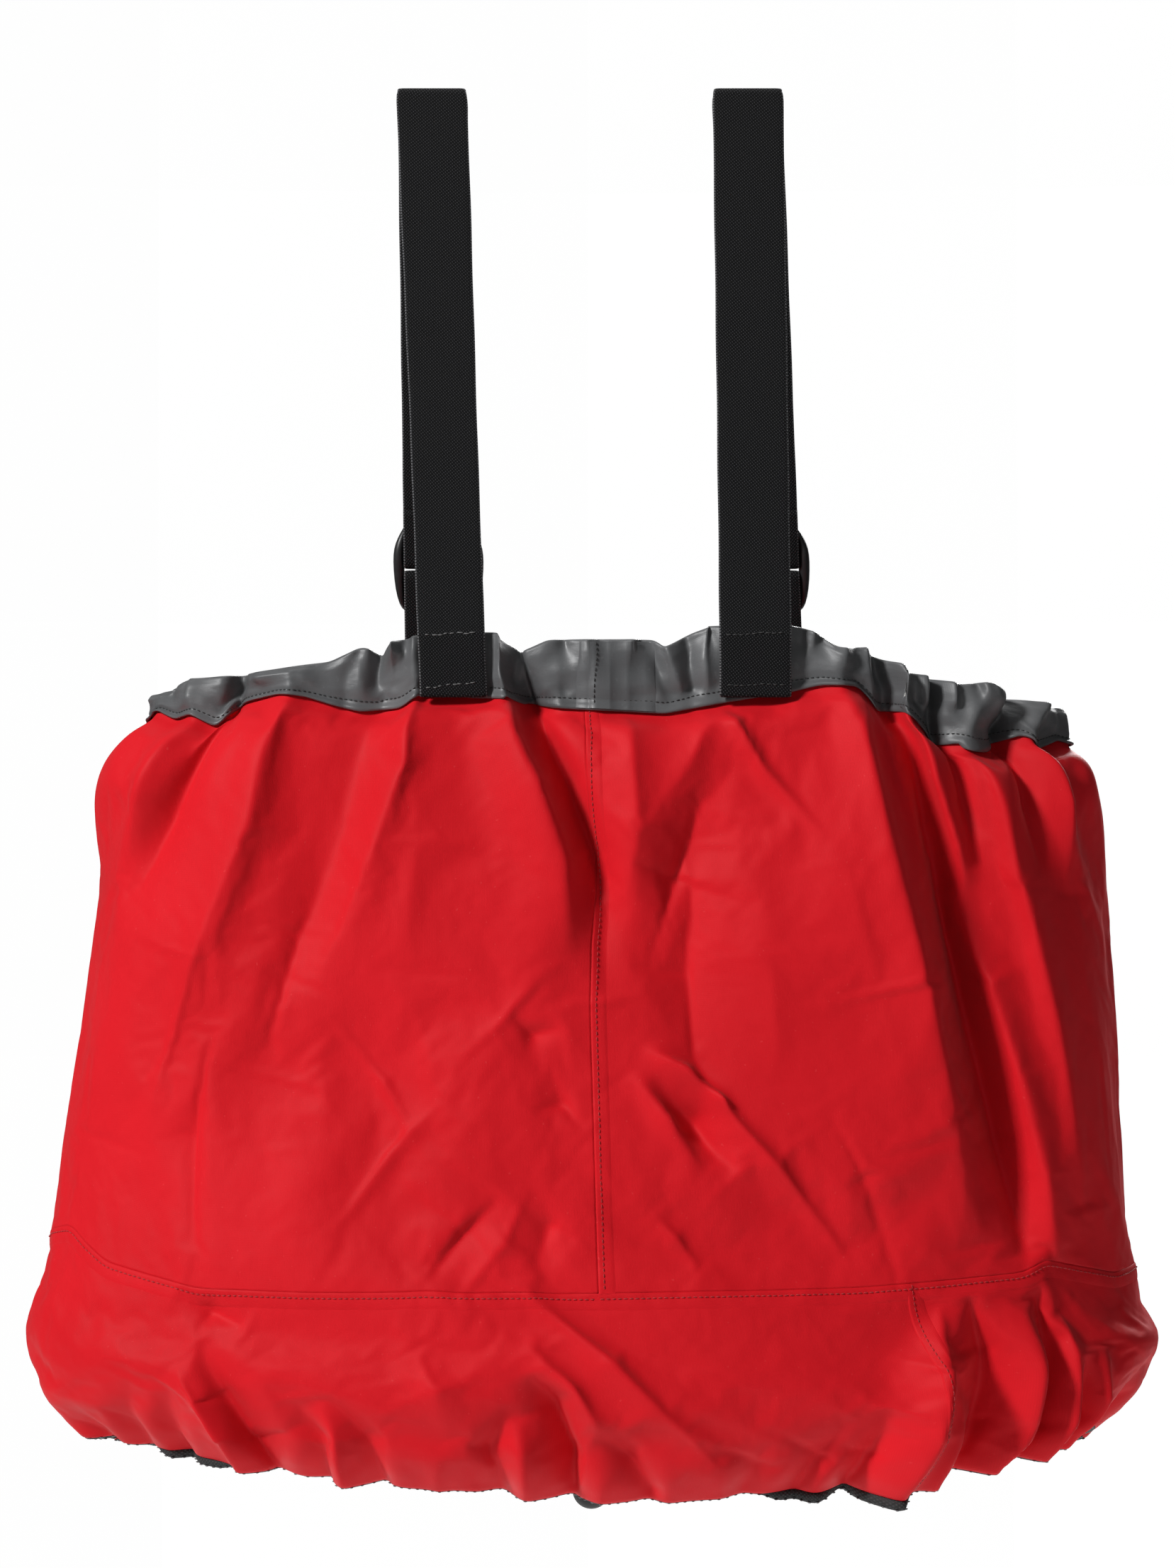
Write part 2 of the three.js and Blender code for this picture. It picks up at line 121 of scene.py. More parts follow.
def make_stage():
    scene = bpy.context.scene
    camera = bpy.data.objects.new("camera", bpy.data.cameras.new("camera"))
    scene.collection.objects.link(camera)
    camera.location = (0, -VIEW_DISTANCE, VIEW_HEIGHT)
    camera.rotation_euler = (math.pi / 2, 0, 0)
    camera.data.sensor_fit = "VERTICAL"
    camera.data.sensor_height = SENSOR
    camera.data.lens = SENSOR * VIEW_DISTANCE / VIEW_TALL
    scene.camera = camera
    scene.view_settings.view_transform = "Standard"

    world = bpy.data.worlds.new("studio")
    scene.world = world
    world.use_nodes = True
    sky = world.node_tree.nodes["Background"]
    sky.inputs["Color"].default_value = (1, 1, 1, 1)
    sky.inputs["Strength"].default_value = 0.09

    for name, place, power, size in LAMPS:
        lamp = bpy.data.lights.new(name, "AREA")
        lamp.energy = power
        lamp.size = size
        light = bpy.data.objects.new(name, lamp)
        scene.collection.objects.link(light)
        light.location = place
        aim = Vector(LIT_PLACE) - Vector(place)
        light.rotation_euler = aim.to_track_quat("-Z", "Y").to_euler()

    make_floor()
    make_backdrop()


def make_floor():
    size, z = 1.5, CAD_BOX[0][2] - 0.45  # in metres, as the box is
    corners = np.array([(-size, -size, z), (size, -size, z), (size, size, z), (-size, size, z)]) / MM
    return add_object("floor", corners, [(0, 1, 2, 3)], plain("floor", 0.9, Base_Color=(0.95, 0.95, 0.95, 1)))


def make_backdrop():
    """A white dome far round the skirt that the camera sees, and that casts no light on it."""
    bpy.ops.mesh.primitive_uv_sphere_add(segments=48, ring_count=24, radius=8)
    dome = bpy.context.object
    dome.name = "backdrop"
    glow = {"Base_Color": (0, 0, 0, 1), "Emission_Color": (1, 1, 1, 1), "Emission_Strength": 0.98}
    dome.data.materials.append(plain("backdrop", 0.5, **glow))
    dome.visible_diffuse = False
    dome.visible_glossy = False
    dome.visible_shadow = False
    return dome


# ---- materials ----

def plain(name, roughness, **shader_values):
    """A material with these constants. The underscores stand for spaces in the sockets' names."""
    material = bpy.data.materials.new(name)
    material.use_nodes = True
    shader = material.node_tree.nodes["Principled BSDF"]
    shader.inputs["Roughness"].default_value = roughness
    for socket, value in shader_values.items():
        shader.inputs[socket.replace("_", " ")].default_value = value
    return material


class Shading:
    """A material with short calls for its nodes."""

    def __init__(self, name, roughness, **shader_values):
        self.material = plain(name, roughness, **shader_values)
        self.tree = self.material.node_tree
        self.shader = self.tree.nodes["Principled BSDF"]
        texture = self.add("ShaderNodeTexCoord")
        self.uv = texture.outputs["UV"]
        self.place = texture.outputs["Object"]

    def add(self, kind, operation=None, **inputs):
        node = self.tree.nodes.new(kind)
        if operation:
            node.operation = operation
        for name, value in inputs.items():
            self.set(node.inputs[name.replace("_", " ")], value)
        return node

    def set(self, socket, value):
        if isinstance(value, bpy.types.NodeSocket):
            self.tree.links.new(value, socket)
        else:
            socket.default_value = value

    def math(self, operation, *values):
        node = self.add("ShaderNodeMath", operation)
        for socket, value in zip(node.inputs, values):
            self.set(socket, value)
        return node.outputs[0]

    def times(self, a, b):
        return self.math("MULTIPLY", a, b)

    def noise(self, vector, scale, detail=3.0, roughness=0.5):
        node = self.add("ShaderNodeTexNoise", Vector=vector, Scale=scale, Detail=detail, Roughness=roughness)
        return node.outputs["Fac"]

    def lines(self, pitch, turn=0.0):
        """Soft parallel lines across the cloth's width, this far apart in metres."""
        turned = self.mapped(turn=turn)
        node = self.add("ShaderNodeTexWave", Vector=turned, Scale=2 * math.pi / 20 / pitch)
        return node.outputs["Fac"]

    def crossed(self, pitch, turn):
        """Lines turned both ways."""
        return self.times(self.lines(pitch, turn), self.lines(pitch, -turn))

    def mapped(self, scale=(1, 1, 1), turn=0.0):
        return self.add("ShaderNodeMapping", Vector=self.uv, Scale=scale, Rotation=(0, 0, turn)).outputs[0]

    def mix(self, amount, a, b):
        node = self.tree.nodes.new("ShaderNodeMix")
        node.data_type = "RGBA"
        for socket, value in zip((node.inputs[0], node.inputs[6], node.inputs[7]), (amount, a, b)):
            self.set(socket, (*value, 1) if isinstance(value, tuple) else value)
        return node.outputs[2]

    def tint(self, color, amount, share, other):
        """The color with this share of the other one mixed in, by the amount."""
        return self.mix(self.times(amount, share), color, other)

    def between(self, value, low, high):
        """The value stretched so that low becomes 0 and high 1, held to that range."""
        node = self.add("ShaderNodeMapRange", Value=value)
        node.inputs["From Min"].default_value = low
        node.inputs["From Max"].default_value = high
        return node.outputs[0]

    def finish(self, color, bumps, roughness=None):
        """bumps are (height, distance in metres, strength), coarsest first."""
        self.set(self.shader.inputs["Base Color"], color)
        if roughness is not None:
            self.set(self.shader.inputs["Roughness"], roughness)
        normal = None
        for height, distance, strength in bumps:
            node = self.add("ShaderNodeBump", Height=height, Distance=distance, Strength=strength)
            if normal is not None:
                self.set(node.inputs["Normal"], normal)
            normal = node.outputs["Normal"]
        self.set(self.shader.inputs["Normal"], normal)
        return self.material


def red_nylon():
    m = Shading("red_nylon", 0.6, Sheen_Weight=0.03, Sheen_Roughness=0.5, Specular_IOR_Level=0.1)
    cloud = m.between(m.noise(m.uv, 9.0, 4.0), 0.3, 0.7)
    grain = m.noise(m.uv, 1400.0, 2.0)
    ribs = m.lines(0.0007)
    weft = m.lines(0.0006, math.pi / 2)
    color = m.mix(cloud, (0.54, 0.0055, 0.011), (0.62, 0.0075, 0.0145))
    color = m.tint(color, ribs, 0.12, (0.40, 0.005, 0.009))
    lint = m.between(m.noise(m.uv, 420.0, 1.0), 0.735, 0.78)
    color = m.tint(color, lint, 0.12, (0.8, 0.12, 0.12))
    roughness = m.math("MULTIPLY_ADD", m.noise(m.uv, 45.0), 0.2, 0.48)
    crinkle = m.noise(m.mapped((1, 0.6, 1)), 42.0, 4.0)
    bumps = [(crinkle, 0.0014, 0.3), (grain, 0.00012, 0.4), (ribs, 0.00006, 0.3), (weft, 0.00006, 0.25)]
    return m.finish(color, bumps, roughness)


def grey_coated():
    m = Shading("grey_coated", 0.42, Specular_IOR_Level=0.42, Coat_Weight=0.05, Coat_Roughness=0.4)
    cloud = m.between(m.noise(m.uv, 22.0, 4.0), 0.3, 0.7)
    color = m.mix(cloud, (0.072, 0.074, 0.077), (0.105, 0.107, 0.110))
    rub = m.between(m.noise(m.uv, 160.0, 3.0, 0.65), 0.62, 0.74)
    color = m.tint(color, rub, 0.35, (0.19, 0.19, 0.195))
    roughness = m.math("MULTIPLY_ADD", m.noise(m.uv, 70.0), 0.22, 0.35)
    crinkle = m.noise(m.mapped((0.7, 1.5, 1)), 60.0, 4.0, 0.6)
    grain = m.times(m.lines(0.0007), m.lines(0.0007, math.pi / 2))
    return m.finish(color, [(crinkle, 0.0012, 0.45), (grain, 0.00006, 0.35)], roughness)


def webbing_black():
    m = Shading("webbing_black", 0.8, Specular_IOR_Level=0.15, Sheen_Weight=0.02)
    twill = m.lines(0.0013, math.radians(-38))
    floats = m.math("MULTIPLY_ADD", m.lines(0.0015, math.radians(52)), 0.6, 0.4)
    dots = m.times(twill, floats)
    fuzz = m.noise(m.uv, 1600.0, 2.0)
    worn = m.between(m.noise(m.uv, 35.0, 4.0), 0.3, 0.75)
    color = m.mix(m.between(dots, 0.5, 0.95), (0.001, 0.001, 0.0013), (0.050, 0.050, 0.053))
    color = m.tint(color, worn, 0.2, (0.008, 0.008, 0.0085))
    from_middle = m.math("ABSOLUTE", m.add("ShaderNodeSeparateXYZ", Vector=m.uv).outputs["X"])
    edge = WEBBING_WIDTH / 2 * MM
    # painted highlight: the lighter line along both edges of the webbing, broken into short loops, stands in
    # for the light that the edges catch
    edge_highlight = m.between(from_middle, edge - 0.0010, edge - 0.0005)
    loops = m.times(edge_highlight, m.lines(0.0016, math.pi / 2))
    color = m.mix(loops, color, (0.13, 0.13, 0.135))
    return m.finish(color, [(dots, 0.0004, 0.7), (fuzz, 0.0001, 0.5)])


def moulded_black(name, roughness):
    m = Shading(name, roughness, Specular_IOR_Level=0.5)
    wear = m.between(m.noise(m.place, 60.0, 5.0), 0.35, 0.7)
    color = m.mix(wear, (0.008, 0.008, 0.0085), (0.018, 0.018, 0.019))
    grain = m.noise(m.place, 1500.0, 2.0)
    rough = m.math("MULTIPLY_ADD", m.noise(m.place, 300.0), 0.15, roughness)
    return m.finish(color, [(grain, 0.00003, 0.3)], rough)


def seam_tape():
    m = Shading("seam_tape", 0.6, Specular_IOR_Level=0.4)
    knit = m.crossed(0.0012, 0.6)
    return m.finish(m.mix(knit, (0.022, 0.022, 0.024), (0.055, 0.055, 0.058)), [(knit, 0.0002, 0.5)])


def grip_weave():
    m = Shading("grip_weave", 0.7, Specular_IOR_Level=0.35)
    weave = m.crossed(0.0014, math.radians(45))
    return m.finish(m.mix(weave, (0.006, 0.006, 0.0065), (0.024, 0.024, 0.026)), [(weave, 0.0003, 0.6)])


def silicone():
    m = Shading("silicone", 0.3, Specular_IOR_Level=0.5)
    color = m.mix(m.noise(m.place, 500.0), (0.05, 0.05, 0.053), (0.14, 0.14, 0.145))
    return m.finish(color, [(m.noise(m.place, 900.0), 0.0001, 0.4)])


def elastic_white():
    m = Shading("elastic_white", 0.8, Sheen_Weight=0.2)
    ribs = m.lines(0.0015, math.pi / 2)
    return m.finish(m.mix(ribs, (0.55, 0.54, 0.51), (0.78, 0.77, 0.74)), [(ribs, 0.0005, 0.6)])


def braid_black():
    m = Shading("braid_black", 0.75)
    braid = m.crossed(0.0015, 0.8)
    return m.finish(m.mix(braid, (0.006, 0.006, 0.006), (0.035, 0.035, 0.036)), [(braid, 0.0004, 0.7)])


def thread(name, dark, light):
    m = Shading(name, 0.6, Sheen_Weight=0.1)
    twist = m.noise(m.place, 1800.0, 2.0)
    return m.finish(m.mix(twist, dark, light), [(twist, 0.00015, 0.5)])


# ---- meshes ----

def add_object(name, points, faces, material, uv=None):
    """A smooth mesh object of points in millimetres. uv, in metres, has one pair for each point."""
    mesh = bpy.data.meshes.new(name)
    mesh.from_pydata((np.asarray(points, float).reshape(-1, 3) * MM).tolist(), [], faces)
    if uv is not None:
        layer = mesh.uv_layers.new(name="UVMap")
        corner = np.empty(len(mesh.loops), np.int32)
        mesh.loops.foreach_get("vertex_index", corner)
        layer.data.foreach_set("uv", np.asarray(uv, float).reshape(-1, 2)[corner].ravel())
    mesh.shade_smooth()
    mesh.materials.append(material)
    obj = bpy.data.objects.new(name, mesh)
    bpy.context.scene.collection.objects.link(obj)
    return obj


def grid_faces(rows, cols, around=False, joined=False):
    """Quads of a grid. around joins its last column to its first, and joined its last row to its first."""
    index = np.arange(rows * cols).reshape(rows, cols)
    if around:
        index = np.concatenate([index, index[:, :1]], axis=1)
    if joined:
        index = np.concatenate([index, index[:1]], axis=0)
    corners = (index[:-1, :-1], index[1:, :-1], index[1:, 1:], index[:-1, 1:])
    return np.stack(corners, axis=-1).reshape(-1, 4).tolist()


def add_grid(name, points, material, uv=None, around=False, joined=False):
    """A smooth mesh object of a grid of points."""
    return add_object(name, points, grid_faces(*points.shape[:2], around, joined), material, uv)


def apply_modifiers(obj):
    bpy.context.view_layer.update()
    graph = bpy.context.evaluated_depsgraph_get()
    mesh = bpy.data.meshes.new_from_object(obj.evaluated_get(graph))
    obj.modifiers.clear()
    obj.data = mesh


def subdivide(obj):
    obj.modifiers.new("subdivision", "SUBSURF").levels = 1
    apply_modifiers(obj)


def face_outwards(obj):
    """Turns the faces of each closed part to the outside."""
    mesh = bmesh.new()
    mesh.from_mesh(obj.data)
    bmesh.ops.recalc_face_normals(mesh, faces=mesh.faces)
    mesh.to_mesh(obj.data)
    mesh.free()


def thicken(obj):
    """Gives cloth its thickness, inwards."""
    solidify = obj.modifiers.new("thickness", "SOLIDIFY")
    solidify.thickness = CLOTH * MM
    solidify.offset = -1.0
    apply_modifiers(obj)


def ride(obj, body, node=None):
    """The piece moves with the body, and stands for the CAD node."""
    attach(obj, body)
    if node:
        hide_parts(node)


def blend(obj, node):
    """The piece keeps its place, baked into its mesh, and stands for the CAD node."""
    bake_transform(obj)
    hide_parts(node)


def smoothstep(x):
    x = np.clip(x, 0, 1)
    return x * x * (3 - 2 * x)


def unit(vectors):
    """These vectors, each with a length of 1."""
    return vectors / np.maximum(np.linalg.norm(vectors, axis=-1, keepdims=True), 1e-9)


def run_along(points):
    """How far along a line of points each one is. For a grid it is the mean of its columns."""
    steps = np.linalg.norm(np.diff(points, axis=0), axis=-1)
    return np.concatenate([[0], np.cumsum(steps.reshape(len(steps), -1).mean(axis=1))])


def between_rows(at, run, rows):
    """Three values for each place, found between the rows, whose places are the run."""
    return np.stack([np.interp(at, run, rows[:, i]) for i in range(3)], axis=-1)


def uv_grid(across, down):
    """A grid's uv in metres, from its distances across and down."""
    return np.stack(np.meshgrid(across, down), axis=-1) * MM


def halve(points):
    """A grid's points and the ones halfway down its rows, where one step of smooth subdivision puts them."""
    ends = np.concatenate([points[:1], points, points[-1:]])
    kept = (ends[:-2] + 6 * ends[1:-1] + ends[2:]) / 8
    kept[0], kept[-1] = points[0], points[-1]
    fine = np.empty((2 * len(points) - 1, *points.shape[1:]))
    fine[::2] = kept
    fine[1::2] = (points[:-1] + points[1:]) / 2
    return fine


class Surface:
    """Cloth on a grid that goes round, and places on it by row and column."""

    def __init__(self, points):
        self.rows, self.cols = points.shape[:2]
        wide = np.concatenate([points[:, -4:], points, points[:, :4]], axis=1)
        fine = halve(wide)
        fine = halve(fine.swapaxes(0, 1)).swapaxes(0, 1)
        down = np.gradient(fine, axis=0)
        along = np.gradient(fine, axis=1)
        self.points = fine[:, 8:-7]
        self.normals = unit(np.cross(down, along))[:, 8:-7]
        self.spacing = np.linalg.norm(along, axis=-1).mean() * 2, np.linalg.norm(down, axis=-1).mean() * 2

    def at(self, row, col, lift=0.0):
        """Points and normals at these rows and columns, which may lie between the grid's own."""
        row, col, lift = np.broadcast_arrays(np.asarray(row, float), col, lift)
        r = np.clip(row * 2, 0, self.points.shape[0] - 1.001)
        c = (col % self.cols) * 2
        r0, c0 = r.astype(int), np.minimum(c.astype(int), self.points.shape[1] - 2)
        fr, fc = (r - r0)[..., None], (c - c0)[..., None]
        found = []
        for grid in (self.points, self.normals):
            near = grid[r0, c0] * (1 - fc) + grid[r0, c0 + 1] * fc
            far = grid[r0 + 1, c0] * (1 - fc) + grid[r0 + 1, c0 + 1] * fc
            found.append(near * (1 - fr) + far * fr)
        normals = unit(found[1])
        return found[0] + normals * lift[..., None], normals


def surface_strip(name, surface, rows, cols, lifts, material):
    """A strip lying on the surface. rows and cols are grids of places, with the strip's length as their first
    axis, and lifts gives its height above the surface at each place across it."""
    points, _ = surface.at(rows, cols, lifts)
    uv = uv_grid(run_along(points[0]), run_along(points[:, 0]))
    strip = add_grid(name, points, material, uv)
    facing = strip.data.polygons[0].normal @ Vector(surface.at(rows[0][0], cols[0][0])[1])
    if facing < 0:
        strip.data.flip_normals()
    return strip


def add_tubes(name, groups, material):
    """One object of small closed tubes. Each group is an array of points by tube, ring and side."""
    faces = []
    base = 0
    for tubes in groups:
        index = base + np.arange(tubes[..., 0].size).reshape(tubes.shape[:3])
        turned = np.roll(index, -1, axis=2)
        quads = np.stack((index[:, :-1], turned[:, :-1], turned[:, 1:], index[:, 1:]), axis=-1).reshape(-1, 4)
        faces += quads.tolist() + index[:, 0, ::-1].tolist() + index[:, -1].tolist()
        base += index.size
    obj = add_object(name, np.concatenate([tubes.reshape(-1, 3) for tubes in groups]), faces, material)
    face_outwards(obj)
    return obj


def stitches(name, lines, material, pitch, share, radius, jitter=0.0):
    """Stitches along lines of (points, normals). share is how much of the pitch each stitch shows."""
    rng = np.random.default_rng(5)
    stations = np.array((0, 0.16, 0.5, 0.84, 1.0))
    rises = np.array((-0.9, 0.35, 0.75, 0.35, -0.9)) * radius
    girths = np.array((0.45, 0.85, 1.0, 0.85, 0.45)) * radius
    turns = np.arange(6) * math.pi / 3
    groups = []
    for points, normals in lines:
        run = run_along(points)
        count = int(run[-1] / pitch)
        starts = (np.arange(count) + 0.15) * pitch + rng.uniform(-jitter, jitter, count)
        lengths = pitch * share * (1 + rng.uniform(-1, 1, count) * jitter * 0.4)
        at = starts[:, None] + stations[None, :] * lengths[:, None]
        place = between_rows(at, run, points)
        normal = unit(between_rows(at, run, normals))
        along = unit(np.gradient(place, axis=1))
        side = np.cross(along, normal)
        slip = rng.uniform(-0.5, 0.5, (count, 1, 1)) * jitter
        ring = (side[:, :, None] * np.cos(turns)[:, None] + normal[:, :, None] * np.sin(turns)[:, None])
        center = place + normal * rises[None, :, None] + side * slip
        groups.append(center[:, :, None] + ring * girths[None, :, None, None])
    return add_tubes(name, groups, material)


def level_row(x, y, z, facing):
    """A row of places for stitches at this y, and their normals, which face along y."""
    points = np.stack(np.broadcast_arrays(x, y, z), axis=-1)
    return points, np.broadcast_to((0.0, facing, 0.0), points.shape)


def closed_tube(rings, count):
    """Faces of a solid through this many rings of this many points, with both ends closed."""
    last = (rings - 1) * count
    ends = [list(range(count)), list(range(last + count - 1, last - 1, -1))]
    return grid_faces(rings, count, around=True) + ends


def ribbon(name, middle, across, width, thickness, material, weave=None):
    """Webbing along the middle points, with round edges. across is its width's direction, and weave is the
    width that the weave is drawn for where the webbing is pulled narrower."""
    tangent = unit(np.gradient(middle, axis=0))
    across = unit(np.broadcast_to(across, middle.shape))
    normal = np.cross(tangent, across)
    t = np.sin(np.linspace(-1, 1, 19) * math.pi / 2)
    half = thickness / 2 * np.sqrt(1 - np.abs(t) ** 18)
    t = np.concatenate([t, t[-2:0:-1]])
    rise = np.concatenate([half, -half[-2:0:-1]])
    width = np.broadcast_to(width, len(middle))
    weave = width if weave is None else np.full(len(middle), weave)
    points = middle[:, None] + across[:, None] * (t[None, :] * width[:, None] / 2)[..., None]
    points = points + normal[:, None] * rise[None, :, None]
    length = run_along(middle)[:, None]
    uv = np.stack(np.broadcast_arrays(t[None, :] * weave[:, None] / 2, length), axis=-1) * MM
    obj = add_object(name, points, closed_tube(len(middle), len(t)), material, uv)
    if obj.data.polygons[0].normal @ Vector(normal[0] * rise[1]) < 0:
        obj.data.flip_normals()
    return obj


# ---- the skirt's smooth oval ----

def signed_power(value, power):
    return np.sign(value) * np.abs(value) ** power


def oval(half_width, half_depth, angle):
    """Points and outward normals of an oval, for angles in radians from +X."""
    c, s = np.cos(angle), np.sin(angle)
    x = half_width * signed_power(c, 2 / OVAL_POWER)
    y = half_depth * signed_power(s, 2 / OVAL_POWER)
    nx = signed_power(c, 2 - 2 / OVAL_POWER) / half_width
    ny = signed_power(s, 2 - 2 / OVAL_POWER) / half_depth
    size = np.hypot(nx, ny)
    return x, y, nx / size, ny / size


def even_angles():
    """Fine angles round the oval from the middle of the back, and the distance u of each."""
    fine = np.linspace(-math.pi / 2, 1.5 * math.pi, 40001)
    x, y, _, _ = oval(LEVELS[SEAM, 0], LEVELS[SEAM, 1], fine)
    return fine, np.concatenate([[0], np.cumsum(np.hypot(np.diff(x), np.diff(y)))])


FINE_ANGLES, FINE_U = even_angles()
RING = FINE_U[-1]


def angles_at(u):
    return np.interp(u % RING, FINE_U, FINE_ANGLES)


def u_at_angle(angle):
    return float(np.interp((angle + math.pi / 2) % (2 * math.pi) - math.pi / 2, FINE_ANGLES, FINE_U))


def shortest(u):
    """The shortest way round to u from the middle of the back, below 0 towards -X."""
    return (u + RING / 2) % RING - RING / 2


FINE_LEVELS = 80  # from each of the levels to the next


def level_line():
    """Fine levels from the band's top to the hem, and how far below the waist each is along the outline."""
    spans = []
    last = len(LEVELS) - 1
    for k in range(last):
        before, here, there, after = (LEVELS[min(max(k + i, 0), last)] for i in (-1, 0, 1, 2))
        t = np.linspace(0, 1, FINE_LEVELS, endpoint=k == last - 1)[:, None]
        start, end = (there - before) / 2, (after - here) / 2
        spans.append((2 * t**3 - 3 * t**2 + 1) * here + (t**3 - 2 * t**2 + t) * start
                     + (3 * t**2 - 2 * t**3) * there + (t**3 - t**2) * end)
    line = np.concatenate(spans)
    run = run_along(line)
    return line, run - run[FINE_LEVELS * WAIST]


LEVEL_LINE, LEVEL_RUN = level_line()
LENGTH = LEVEL_RUN[-1]


def levels_at(down):
    """Half width, half depth and height at these distances below the waist."""
    return between_rows(down, LEVEL_RUN, LEVEL_LINE)


def down_at(z):
    return np.interp(-np.asarray(z, float), -LEVEL_LINE[:, 2], LEVEL_RUN)


def u_on_back(x, z):
    """The distance u of a place on the back, from its x and height."""
    half_width = np.interp(-np.asarray(z, float), -LEVEL_LINE[:, 2], LEVEL_LINE[:, 0])
    side = (np.asarray(x, float) - middle_x(np.asarray(z, float))) / half_width
    c = signed_power(np.clip(side, -1, 1), OVAL_POWER / 2)
    return np.sign(c) * np.interp(-np.arccos(np.abs(c)), FINE_ANGLES, FINE_U)


def middle_x(z):
    down = np.clip((WAIST_Z - z) / (WAIST_Z - SEAM_Z), 0, 1)
    return WAIST_SHIFT + (HEM_SHIFT - WAIST_SHIFT) * down


# ---- edges that rise and fall: heights along the back, by x ----

# the waistband's lower edge, against a level line that droops to the sides
LOWER_EDGE = [
    (-262, 24), (-240, 30), (-229, 21), (-218, 20), (-205, 9), (-194, 19), (-171, 19), (-155, 14), (-140, 7),
    (-125, 1), (-103, 0), (-97, 6), (-73, 4), (-54, 0), (-38, -4), (17, -7), (42, -8), (70, -2), (109, 7),
    (126, 13), (146, 15), (156, 8), (161, 4), (179, 7), (186, -3), (192, -9), (203, -6), (214, -7), (222, -5),
    (236, 8), (241, 9), (246, 3), (262, 14),
]
# the waistband's upper edge
UPPER_EDGE = [
    (-240, 4), (-220, 5), (-184, -2), (-142, -5), (-125, 0), (-119, -2), (-115, -8), (-110, 0), (-90, 3),
    (-54, 1), (-40, -12), (-22, -4), (36, -4), (43, -8), (63, 4), (111, 8), (125, 5), (134, -2), (150, 1),
    (160, -3), (180, -8), (206, -8), (222, -3), (236, -7), (252, -4),
]
# the seam above the hem band
SEAM_EDGE = [(-285, 22), (-262, 4), (-210, -7), (-147, -8), (0, -7), (147, -5), (236, 0), (250, 6), (290, -4)]
# the hem
HEM_EDGE = [
    (-290, 18), (-210, 12), (-147, 2), (-63, -2), (-20, -7), (40, -8), (105, -3), (164, -3), (189, -1),
    (230, 13), (275, 16), (290, 28),
]


EDGE_FADE = 120.0  # how far beyond an edge's points its height fades out


def edge_height(points, z, u, blur=2.5):
    """An edge's rise or fall at u, near height z, from its points on the back. Beyond them it fades out."""
    places = np.asarray(points, float)
    at = u_on_back(places[:, 0], z)
    at = np.concatenate([[at[0] - EDGE_FADE], at, [at[-1] + EDGE_FADE]])
    rises = np.concatenate([[0], places[:, 1], [0]])
    fine = np.arange(-RING / 2, RING / 2, 1.0)
    values = np.interp(fine, at, rises)
    reach = np.arange(-4 * int(blur + 1), 4 * int(blur + 1) + 1)
    kernel = np.exp(-((reach / blur) ** 2) / 2)
    values = np.convolve(values, kernel / kernel.sum(), "same")
    return np.interp(shortest(u), fine, values)


# ---- folds ----

PLEAT_GAIN = 1.45
CREASE_GAIN = 1.5
HEM_GAIN = 1.75
BAND_GAIN = 1.45
FRONT_SHARE = 0.7  # height of the front's folds, as a share of the back's
FRONT_MOVE = 55.0  # how far they are moved sideways
SIDE_FADE = 70.0  # how far from the sides they fade out

# Each fold has its line (x, z) on the back, then its half widths and heights along the line, and its lean.
# A height below 0 is a valley. A fold that leans above 0 overhangs to the left of its line, as seen down it.

